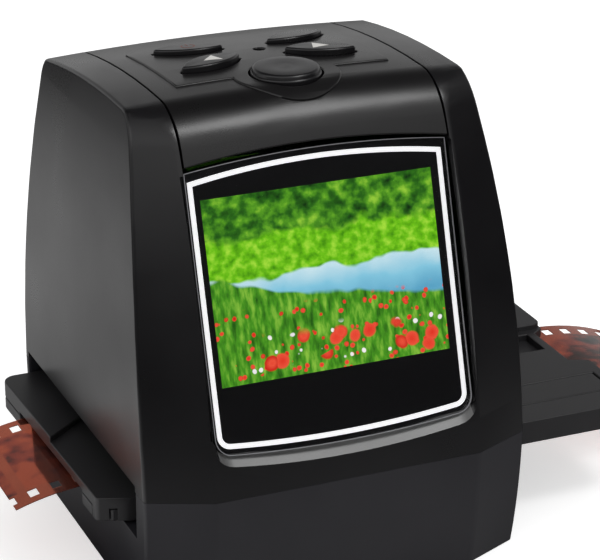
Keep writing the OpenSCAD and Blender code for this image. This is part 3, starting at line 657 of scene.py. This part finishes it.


# The white ink is real print, with a painted glow from its emission.
white_ink_glow = printed_ink("white_ink_glow", 0.25 * MM, rgb(248, 248, 248), rgb(253, 253, 253), {
    "Roughness": 0.35, "Emission Color": WHITE, "Emission Strength": 0.6})
bm = window_sheet(**WHITE_LINE)
keep_ring(bm, 1.0)
onto_screen(bm, -1.22)
line = add_piece(bm, "white_line", "housing", white_ink_glow, ["window_border"],
                 weigh=False)
thicken(line, 0.06)

black_ink = printed_ink("black_ink", 0.3 * MM, rgb(9, 8, 12), rgb(13, 11, 16), {
    "Roughness": 0.5, "Specular IOR Level": 0.2})
bm = window_sheet(**PANE)
half_width, half_height = PICTURE_SIZE[0] / 2, PICTURE_SIZE[1] / 2
cuts = [((side, 0, 0), (1, 0, 0)) for side in (-half_width, half_width)]
cuts += [((0, PICTURE_MIDDLE + end, 0), (0, 1, 0)) for end in (-half_height, half_height)]
for place, normal in cuts:
    bmesh.ops.bisect_plane(bm, geom=bm.verts[:] + bm.edges[:] + bm.faces[:], plane_co=place,
                           plane_no=normal)
lit_part = [f for f in bm.faces if abs(f.calc_center_median().x) < half_width
            and abs(f.calc_center_median().y - PICTURE_MIDDLE) < half_height]
bmesh.ops.delete(bm, geom=lit_part, context="FACES")
onto_screen(bm, -1.3)
mask = add_piece(bm, "black_mask", "housing", black_ink, ["screen_mask"],
                 weigh=False)
thicken(mask, 0.08)

# %% [markdown]
# ## Places on the screen
#
# The screen is lit from behind and shows a meadow, built from nodes alone. A Mapping node of the
# Texture kind turns places on the sloped panel into shares of the picture: 0 to 1 from left to
# right and from bottom to top. Widths are stretched by the picture's proportions, so that noise
# comes out round.

# %% Places on the screen
ASPECT = 1.333
half_picture = Vector((PICTURE_SIZE[0] / 2, 0, 0))
picture_corner = SCREEN_FOOT + up_screen * (PICTURE_MIDDLE - PICTURE_SIZE[1] / 2) - half_picture

meadow, graph = bare_finish("screen_picture")
on_panel = graph.node("ShaderNodeMapping", {
    "Vector": graph.place, "Location": picture_corner * MM,
    "Rotation": (math.radians(90 - SCREEN_LEAN), 0, 0),
    "Scale": (PICTURE_SIZE[0] * MM, PICTURE_SIZE[1] * MM, 1)}, vector_type="TEXTURE").outputs[0]
across, up, _ = graph.split(on_panel)
flat = graph.node("ShaderNodeCombineXYZ", {0: graph.maths("MULTIPLY", across, ASPECT), 1: up})
flat = flat.outputs[0]
wobble = graph.noise(0.16, 3, flat)
print("picture corner at", tuple(round(c, 2) for c in picture_corner), "mm")

# %% [markdown]
# ## Trees, hedge, water and grass
#
# Each field of the meadow is noise through a ramp of its own greens or blues. The grass uses noise
# drawn long and tilted, which reads as blades. A field covers the one before it up to a level
# that noise makes uneven, as a painter works from the sky down.

# %% Trees, hedge, water and grass
TREES = [(0.3, rgb(18, 48, 16)), (0.45, rgb(44, 104, 26)), (0.58, rgb(88, 158, 36)),
         (0.72, rgb(150, 205, 60))]
HEDGE = [(0.3, rgb(70, 146, 16)), (0.5, rgb(112, 196, 26)), (0.7, rgb(168, 226, 64))]
GRASS = [(0.3, rgb(38, 92, 22)), (0.5, rgb(74, 150, 34)), (0.7, rgb(140, 196, 66))]
WATER = [(0.1, rgb(84, 160, 196)), (0.5, rgb(134, 202, 226)), (0.9, rgb(214, 238, 244))]


def cover_below(level, back, picture, field):
    """Lays a field over the picture below a level. Back is how its soft edge starts and ends."""
    share = graph.span(graph.maths("SUBTRACT", level, up), *back, smooth=True)
    return graph.mix(share, picture, field)


blades = graph.node("ShaderNodeMapping", {"Vector": flat, "Scale": (30, 9, 1),
                                          "Rotation": (0, 0, 0.25)}).outputs[0]
glitter = graph.maths("MULTIPLY_ADD", wobble, 0.35, graph.span(up, 0.36, 0.56, 0.0, 0.65))
hedge_top = graph.maths("MULTIPLY_ADD", wobble, 0.22, 0.66)
shore = graph.maths("MULTIPLY_ADD", graph.noise(0.3, 2, flat), 0.2, 0.46)
bank = graph.maths("ADD", graph.maths("MULTIPLY", graph.noise(0.4, 2, flat), 0.26),
                   graph.maths("MULTIPLY_ADD", across, -0.24, 0.42))
picture = graph.ramp(graph.noise(0.085, 3, flat), TREES)
for level, back, field in (
        (hedge_top, (-0.02, 0.03), graph.ramp(graph.noise(0.05, 4, flat), HEDGE)),
        (shore, (-0.006, 0.012), graph.ramp(glitter, WATER)),
        (bank, (-0.01, 0.015), graph.ramp(graph.noise(1.0, 4, blades), GRASS))):
    picture = cover_below(level, back, picture, field)
print("meadow fields:", len((TREES, HEDGE, WATER, GRASS)))

# %% [markdown]
# ## Flowers and light
#
# Voronoi cells scatter the flowers: the distance to a cell's middle makes a round bloom, and the
# cell's own random colour decides its shade and whether it is there at all. Three sizes give
# depth. The picture gives off its own light. The panel's edge outside it is plain black plastic.

# %% Flowers and light
POPPY = [(0.0, rgb(120, 12, 10)), (0.2, rgb(226, 44, 30)), (0.6, rgb(240, 84, 60)),
         (0.9, rgb(196, 20, 16))]
DAISY = [(0.0, rgb(236, 214, 120)), (0.16, rgb(255, 252, 246)), (0.8, rgb(236, 232, 236))]


def flowers(picture, cell, radius, level, fade, petals):
    """Round blooms scattered below a level of the picture, each a shade of the petal colours."""
    sway = graph.node("ShaderNodeCombineXYZ", {0: graph.maths("MULTIPLY", wobble, 0.05)})
    warped = graph.node("ShaderNodeVectorMath", {0: flat, 1: sway.outputs[0]}, operation="ADD")
    cells = graph.node("ShaderNodeTexVoronoi", {"Vector": warped.outputs[0], "Scale": 1 / cell,
                                                "Randomness": 1.0}).outputs
    away, chance = cells["Distance"], graph.split(cells["Color"])
    bloom = graph.span(away, radius, radius * 0.82)
    own_shade = graph.maths("MULTIPLY", chance["X"], 0.5)
    shade = graph.ramp(graph.maths("MULTIPLY_ADD", away, 1.2, own_shade), petals)
    present = graph.maths("GREATER_THAN", chance["Y"], 0.34)
    below = graph.span(up, level, level - fade, smooth=True)
    share = graph.maths("MULTIPLY", graph.maths("MULTIPLY", bloom, present), below)
    return graph.mix(share, picture, shade)


picture = flowers(picture, 0.045, 0.34, 0.4, 0.05, POPPY)
picture = flowers(picture, 0.075, 0.2, 0.27, 0.05, DAISY)
picture = flowers(picture, 0.11, 0.42, 0.26, 0.06, POPPY)
glow = graph.node("ShaderNodeEmission", {"Color": picture, "Strength": 1.0})
border = graph.node("ShaderNodeBsdfPrincipled", {"Base Color": rgb(20, 20, 22), "Roughness": 0.4})
off_middle = graph.maths("ABSOLUTE", graph.maths("SUBTRACT", across, 0.5))
inside = graph.maths("LESS_THAN", off_middle, 0.56)
lit = graph.node("ShaderNodeMixShader", {0: inside, 1: border.outputs[0], 2: glow.outputs[0]})
graph.surface(lit.outputs[0])
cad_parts["lcd_panel"].data.materials[0] = meadow
print("picture of", len(graph.tree.nodes), "nodes")

# %% [markdown]
# ## Round scan key
#
# The largest key is a round cap with a crowned top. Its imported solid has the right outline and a
# faceted dome. Bevelling over those facets would look jagged, so the dome is dissolved to one
# flat face, the rim is rounded, rings are inset into the face, and each new point is dropped back
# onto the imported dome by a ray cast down.


# %% Round scan key
def inner_top(bm):
    """The highest face that looks up, in a list as the operators want it."""
    return [max((f for f in bm.faces if f.normal.z > 0.9), key=lambda f: f.calc_center_median().z)]


def surface_below(piece):
    """A search tree over an object's mesh, for rays that are cast down at it."""
    return BVHTree.FromObject(piece, bpy.context.evaluated_depsgraph_get())


def crown_height(tree, x, y):
    """How high the surface is at that place, or None beside it."""
    hit = tree.ray_cast(Vector((x, y, 0.12)), Vector((0, 0, -1)))[0]
    return hit.z if hit else None


def cap_rim(p, n):
    return p.z > 97.5 and max(n[0].z, n[1].z) > 0.9


bm = merged_copy("scan_button")
crown = [f for f in bm.faces if f.normal.z > 0.97 and f.calc_center_median().z > 98 * MM]
bmesh.ops.dissolve_faces(bm, faces=crown, use_verts=True)
round_over(bm, outer_edges(bm, 35, cap_rim), 0.45, 5)
top, before = inner_top(bm), set(bm.verts)
for _ in range(2):
    bmesh.ops.inset_region(bm, faces=top, thickness=2 * MM, use_boundary=True,
                           use_even_offset=True)
bmesh.ops.poke(bm, faces=top)
dome = surface_below(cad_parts["scan_button"])
for v in set(bm.verts) - before:
    v.co.z = crown_height(dome, v.co.x, v.co.y) or v.co.z
add_piece(bm, "scan_cap", "scan_key", key_black, ["scan_button"])

# %% [markdown]
# ## Lens-shaped keys
#
# The other four keys are lenses seen from above: two arcs that meet in blunt points. A point spun
# about two centres draws the outline, which is filled, drawn up into a plate, and rounded at its
# points and its rim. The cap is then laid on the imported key, whose crown it follows, and it keeps
# that key's foot below the cover, cut off flat. Each line of the table gives the place of a key's
# middle, its turn in degrees, its length and how far each arc bulges.

# %% Outline of a lens-shaped key
LENS_KEYS = {"power": (-11.8, 7.9, -15.5, 15.6, 3.4), "ok": (11.8, 7.9, 15.5, 15.6, 3.4),
             "left": (-11.9, -5.4, 18.5, 15.8, 3.5), "right": (11.9, -5.4, -18.5, 15.8, 3.5)}
KEY_GAP, CAP_HEIGHT, FOOT_TOP = 0.32, 2.6, 97.2


def lens_plate(length, bulge):
    """A plate with the key's outline, less the gap round it. Its upper side lies at height 0."""
    radius = (length ** 2 / 4 + bulge ** 2) / (2 * bulge)
    reach = radius - KEY_GAP
    half = math.acos((radius - bulge) / reach)
    bm = bmesh.new()
    tip = bm.verts.new((-reach * math.sin(half) * MM, 0, 0))
    arc = {"axis": (0, 0, -1), "angle": 2 * half, "steps": 20}
    far_side = bmesh.ops.spin(bm, geom=[tip], cent=(0, (bulge - radius) * MM, 0), **arc)
    bmesh.ops.spin(bm, geom=far_side["geom_last"], cent=(0, (radius - bulge) * MM, 0), **arc)
    bmesh.ops.remove_doubles(bm, verts=bm.verts, dist=0.01 * MM)
    bmesh.ops.contextual_create(bm, geom=bm.edges[:])
    draw_up(bm, CAP_HEIGHT * MM)
    bmesh.ops.translate(bm, verts=bm.verts, vec=(0, 0, -CAP_HEIGHT * MM))
    return bm


def key_foot(node):
    """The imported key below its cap, closed where it is cut, as a mesh."""
    foot = merged_copy(node)
    bmesh.ops.bisect_plane(foot, geom=foot.verts[:] + foot.edges[:] + foot.faces[:],
                           plane_co=(0, 0, FOOT_TOP * MM), plane_no=(0, 0, 1), clear_outer=True)
    bmesh.ops.holes_fill(foot, edges=[e for e in foot.edges if e.is_boundary], sides=0)
    mesh = bpy.data.meshes.new(node + "_foot")
    foot.to_mesh(mesh)
    foot.free()
    return mesh


print("foot and cap meet at", FOOT_TOP, "mm")

# %% [markdown]
# ## Four caps on their keys
#
# A moulded cap has blunt points, so the two upright edges are rounded first and the rim after
# them, which lets the rim run round the points. The flat top is poked, because a fan of triangles
# can take a crown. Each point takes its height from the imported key, from a place a little further
# in, so that no ray misses it.

# %% Lens-shaped keys
CROWN_SHARE = 0.85


def lens_tip(p, n):
    return max(abs(n[0].z), abs(n[1].z)) < 0.4


def lens_rim(p, n):
    return max(n[0].z, n[1].z) > 0.9


for key, (x, y, turn, length, bulge) in LENS_KEYS.items():
    bm = lens_plate(length, bulge)
    round_over(bm, outer_edges(bm, 50, lens_tip), 0.7, 4)
    round_over(bm, outer_edges(bm, 60, lens_rim), 0.5, 5)
    bmesh.ops.poke(bm, faces=inner_top(bm))
    slant = Matrix.Rotation(math.radians(turn), 3, "Z")
    bmesh.ops.rotate(bm, verts=bm.verts, cent=(0, 0, 0), matrix=slant)
    dome = surface_below(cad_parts[key + "_button"])
    for v in bm.verts:
        inner = v.co * CROWN_SHARE
        v.co.z += crown_height(dome, x * MM + inner.x, y * MM + inner.y)
        v.co.x, v.co.y = v.co.x + x * MM, v.co.y + y * MM
    bm.from_mesh(key_foot(key + "_button"))
    add_piece(bm, key + "_cap", key + "_key", key_black, [key + "_button"])

# %% [markdown]
# ## Printed symbols
#
# The left and right keys carry a white triangle and the rear left key a power symbol. They are pad
# printed, so they lie on the crown as a thin layer of ink. A texture could draw them, but a small
# mesh stays crisp at any distance: it is drawn flat, cut fine, and dropped onto the cap by rays
# cast down.

# %% Helpers for a print on a key
INK_GAP, INK_LAYER, MIDDLE_HEIGHT = 0.02 * MM, 0.03, 0.1


def print_on(bm, key, finish):
    """Drops a flat drawing onto a key's cap, just above it, and gives it a thickness."""
    cap = surface_below(bpy.data.objects[key + "_cap"])
    bmesh.ops.triangulate(bm, faces=bm.faces)
    for _ in range(2):
        bmesh.ops.subdivide_edges(bm, edges=bm.edges, cuts=1, use_grid_fill=True)
    for v in bm.verts:
        v.co.z = crown_height(cap, v.co.x, v.co.y) + INK_GAP
    bmesh.ops.recalc_face_normals(bm, faces=bm.faces)
    if sum(f.normal.z for f in bm.faces) < 0:
        bmesh.ops.reverse_faces(bm, faces=bm.faces)
    mark = add_piece(bm, "mark_" + key, key + "_key", finish, crease=60,
                     weigh=False)
    thicken(mark, INK_LAYER)


def on_key(key, along, aside):
    """A place above a key, in metres, given along and across its own long axis in millimetres."""
    x, y, turn = LENS_KEYS[key][:3]
    turned = Vector((along, aside)) @ Matrix.Rotation(math.radians(-turn), 2)
    return Vector(((x + turned.x) * MM, (y + turned.y) * MM, MIDDLE_HEIGHT))


print("ink layer", INK_LAYER, "mm")

# %% [markdown]
# ## Arrow triangles
#
# Each triangle points outwards along its key. One list of three corners serves both keys, turned
# about by a sign, so that the pair stays a mirror image.

# %% Triangles
TRIANGLE = ((1.8, 0), (-1.6, 1.9), (-1.6, -1.9))
symbol_white = mottled("symbol_white", 0.2 * MM, 2, rgb(196, 194, 190), rgb(222, 220, 216),
                       {"Roughness": 0.5})
for key, ahead in (("left", -1), ("right", 1)):
    bm = bmesh.new()
    bm.faces.new([bm.verts.new(on_key(key, ahead * u, v)) for u, v in TRIANGLE])
    print_on(bm, key, symbol_white)

# %% [markdown]
# ## Power symbol
#
# The symbol is an open ring with a bar in its gap. A short edge spun through most of a turn makes
# the ring, and a grid of one by two faces, scaled narrow, makes the bar.

# %% Power symbol
RING_INNER, RING_OUTER, GAP_START, RING_TURN = 1.15, 1.5, 38, 284
symbol_red = mottled("symbol_red", 0.2 * MM, 2, rgb(96, 58, 52), rgb(120, 70, 62),
                     {"Roughness": 0.5})
middle = on_key("power", 0, 0)
bm = bmesh.new()
ring_ends = [bm.verts.new(middle + Vector((0, r * MM, 0))) for r in (RING_INNER, RING_OUTER)]
bm.edges.new(ring_ends)
start = Matrix.Rotation(math.radians(GAP_START), 3, "Z")
bmesh.ops.rotate(bm, verts=bm.verts, cent=middle, matrix=start)
bmesh.ops.spin(bm, geom=bm.edges[:] + bm.verts[:], cent=middle, axis=(0, 0, 1),
               angle=math.radians(RING_TURN), steps=22)
bar = bmesh.ops.create_grid(bm, x_segments=1, y_segments=2, size=0.5 * MM)["verts"]
bmesh.ops.scale(bm, verts=bar, vec=(0.34, 1.5, 1))
bmesh.ops.translate(bm, verts=bar, vec=middle + Vector((0, 1 * MM, 0)))
print_on(bm, "power", symbol_red)

# %% [markdown]
# ## Status light
#
# A small dark lens sits between the rear keys and lights up when the scanner is on. It is off
# here, so it only needs smooth, nearly black plastic and a soft edge.

# %% Status light
light_lens = mottled("light_lens", 1 * MM, 2, rgb(10, 10, 11), rgb(18, 16, 18),
                     {"Roughness": 0.12})
bm = merged_copy("status_light")
round_over(bm, outer_edges(bm, 40, lambda p, n: p.z > 98), 0.3, 3)
add_piece(bm, "status_lens", "housing", light_lens, ["status_light"])

# %% [markdown]
# ## Film tray
#
# The tray is two thin leaves, hinged at the back, with the film between them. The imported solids
# already have every opening, so only the edges are added: a quarter of a millimetre all round,
# because fingers touch them.

# %% Tray leaves
for node, name in (("tray_base", "tray_leaf_lower"), ("tray_cover", "tray_leaf_upper")):
    bm = merged_copy(node)
    round_over(bm, outer_edges(bm, 40), 0.25, 3)
    add_piece(bm, name, "tray", tray_black, [node])

# %% [markdown]
# ## Film strip
#
# The film is acetate with an orange mask. Light goes through it, so the finish is a transmitting
# plastic whose tint holds a row of frames 38 millimetres apart, with dark shapes inside each and
# the clear rebate round them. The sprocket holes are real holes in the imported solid. Where one
# frame starts follows from the remainder of the place along the strip, divided by the pitch.

# %% Film strip
FRAME_PITCH, FRAME_LONG, FRAME_WIDE, FILM_MIDDLE = 38 * MM, 36 * MM, 24 * MM, -0.5 * MM
NEGATIVE = [(0.42, (0.37, 0.088, 0.05, 1)), (0.52, (0.23, 0.056, 0.042, 1)),
            (0.57, (0.07, 0.036, 0.032, 1)), (0.66, (0.03, 0.028, 0.024, 1))]
REBATE = (0.38, 0.1, 0.058, 1), (0.3, 0.078, 0.048, 1)
SOFT_LONG, SOFT_WIDE = 0.004, 0.15 * MM

film_base, graph = new_finish("film_base")
along, aside, _ = graph.split(graph.place)
steps = graph.maths("ADD", graph.maths("DIVIDE", along, FRAME_PITCH), 0.5)
within = graph.maths("ABSOLUTE", graph.maths("SUBTRACT", graph.maths("FRACT", steps), 0.5))
half_long, half_wide = FRAME_LONG / FRAME_PITCH / 2, FRAME_WIDE / 2
in_long = graph.span(within, half_long + SOFT_LONG, half_long - SOFT_LONG)
off_middle = graph.maths("ABSOLUTE", graph.maths("SUBTRACT", aside, FILM_MIDDLE))
in_wide = graph.span(off_middle, half_wide + SOFT_WIDE, half_wide - SOFT_WIDE)
shapes, fine = graph.noise(13 * MM, 2), graph.noise(3.2 * MM, 3)
tone = graph.maths("MULTIPLY_ADD", fine, 0.3, graph.maths("MULTIPLY", shapes, 0.8))
rebate = graph.mix(graph.noise(6 * MM, 2), *REBATE)
in_frame = graph.maths("MULTIPLY", in_long, in_wide)
graph.shade({
    "Base Color": graph.mix(in_frame, rebate, graph.ramp(tone, NEGATIVE)),
    "Roughness": graph.span(fine, 0.3, 0.7, 0.07, 0.12),
    "Transmission Weight": 0.9,
    "IOR": 1.22})
add_piece(merged_copy("film_strip"), "negatives", "tray", film_base, ["film_strip"],
          crease=40)

# %% [markdown]
# ## Metals
#
# The sockets are folded from plated sheet, the detent spring is steel and the standoffs are brass.
# A metal needs little colour work. What tells it apart is a brushed roughness: noise that a
# Mapping node draws out along one direction, so that reflections streak the way the metal was
# rolled or turned.


# %% Metals
def plated_metal(name, colour, rough, brush=(1, 1, 14)):
    """A metal with a brushed grain that runs along one direction."""
    finish, graph = new_finish(name)
    stretched = graph.node("ShaderNodeMapping", {"Vector": graph.place, "Scale": brush})
    grain = graph.noise(1.2 * MM, 3, stretched.outputs[0])
    dull = tuple(c * 0.8 for c in colour[:3]) + (1,)
    graph.shade({
        "Base Color": graph.mix(grain, dull, colour),
        "Roughness": graph.span(grain, 0.3, 0.7, rough, rough + 0.14),
        "Metallic": 1.0})
    print(name, "brushed", brush)
    return finish


port_metal = plated_metal("port_metal", (0.72, 0.71, 0.69, 1), 0.22)
spring_steel = plated_metal("spring_steel", (0.6, 0.6, 0.6, 1), 0.24, (14, 1, 1))
screw_steel = plated_metal("screw_steel", (0.5, 0.5, 0.5, 1), 0.3, (4, 4, 4))
standoff_brass = plated_metal("standoff_brass", (0.72, 0.52, 0.24, 1), 0.28)

# %% [markdown]
# ## Boards, sensor and ribbon cable
#
# A circuit board is green varnish over copper. A Brick texture with long thin bricks makes the
# tracks. The image sensor is a fine checker of dark cells, and the ribbon cable a row of stripes
# from a Wave texture. These three are regular patterns, which noise can't give.

# %% Boards, sensor and ribbon cable
board_green, graph = new_finish("board_green")
tracks = graph.node("ShaderNodeTexBrick", {
    "Vector": graph.place, "Scale": 60.0, "Color1": rgb(18, 84, 44), "Color2": rgb(24, 98, 52),
    "Mortar": rgb(46, 128, 72), "Mortar Size": 0.012, "Brick Width": 0.5, "Row Height": 0.13})
varnish = graph.span(graph.noise(4 * MM, 2), 0.3, 0.7, 0.25, 0.4)
graph.shade({"Base Color": tracks.outputs["Color"], "Roughness": varnish})

chip_dark, graph = new_finish("chip_dark")
cells = graph.node("ShaderNodeTexChecker", {
    "Vector": graph.place, "Scale": 2500.0, "Color1": rgb(30, 34, 58), "Color2": rgb(44, 36, 66)})
graph.shade({"Base Color": cells.outputs["Color"], "Roughness": 0.12})

ribbon_amber, graph = new_finish("ribbon_amber")
stripes = graph.node("ShaderNodeTexWave", {"Vector": graph.place, "Scale": 320.0},
                     bands_direction="X")
ribbon = graph.mix(stripes.outputs["Fac"], rgb(176, 108, 34), rgb(206, 142, 56))
graph.shade({"Base Color": ribbon, "Roughness": 0.3})
print("patterned:", board_green.name, chip_dark.name, ribbon_amber.name)

# %% [markdown]
# ## Lamps, switches and lenses
#
# The light board is white, its lamps have yellow phosphor, and the switches are grey plastic.
# Each is a plain finish with a slight drift in colour. The lens glass lets all light through and
# has the refraction of crown glass, with a hint of colour from its coating.

# %% Lamps, switches and lenses
board_white = mottled("board_white", 5 * MM, 2, rgb(214, 214, 210), rgb(232, 232, 230),
                      {"Roughness": 0.35})
switch_grey = mottled("switch_grey", 2 * MM, 2, rgb(120, 120, 124), rgb(142, 142, 146),
                      {"Roughness": 0.4})
led_yellow = mottled("led_yellow", 0.8 * MM, 1, rgb(230, 214, 104), rgb(244, 234, 150),
                     {"Roughness": 0.3})
lens_clear = mottled("lens_clear", 6 * MM, 1, (0.9, 0.95, 1, 1), (0.97, 0.94, 1, 1), {
    "Roughness": 0.02, "Transmission Weight": 1.0, "IOR": 1.52})
print("finishes so far:", len(bpy.data.materials))

# %% [markdown]
# ## Inner parts
#
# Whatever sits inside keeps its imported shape, because its edges are never seen close. It still
# gets its finish, so that the model looks right when a shell is lifted off.

# %% Give the inner parts their finishes
carried = {
    "lcd_frame": inner_black, "key_board": board_green, "key_switches": switch_grey,
    "main_board": board_green, "sensor_board": board_green, "sensor_chip": chip_dark,
    "optics_tower": inner_black, "tower_plate": inner_black, "lens_barrel": inner_black,
    "lens_glass": lens_clear, "light_box": inner_white, "light_diffuser": inner_white,
    "light_board": board_white, "backlight_leds": led_yellow, "tray_guide": inner_black,
    "detent_spring": spring_steel, "tray_hinge_pins": spring_steel,
    "lcd_ribbon_cable": ribbon_amber, "guide_screws": screw_steel, "board_screws": screw_steel,
    "housing_screws": screw_steel, "board_standoffs": standoff_brass}
for node, finish in carried.items():
    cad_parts[node].data.materials[0] = finish
print("carried over:", len(carried))

# %% [markdown]
# ## Sockets and feet
#
# The sockets show at the rear and the feet below, so these four get rounded edges as the shells
# do. The radius is smaller, 0.12 mm, as on folded sheet.

# %% Sockets and feet
for node, name, finish, slot in (("usb_port", "usb_shell", port_metal, "port_metal"),
                                 ("card_slot", "card_shell", port_metal, "port_metal"),
                                 ("video_jack", "video_shell", inner_black, "inner_black"),
                                 ("rubber_feet", "foot_pads", foot_rubber, "foot_rubber")):
    bm = merged_copy(node)
    round_over(bm, outer_edges(bm, 40), 0.12, 2)
    add_piece(bm, name, "housing", finish, [node])
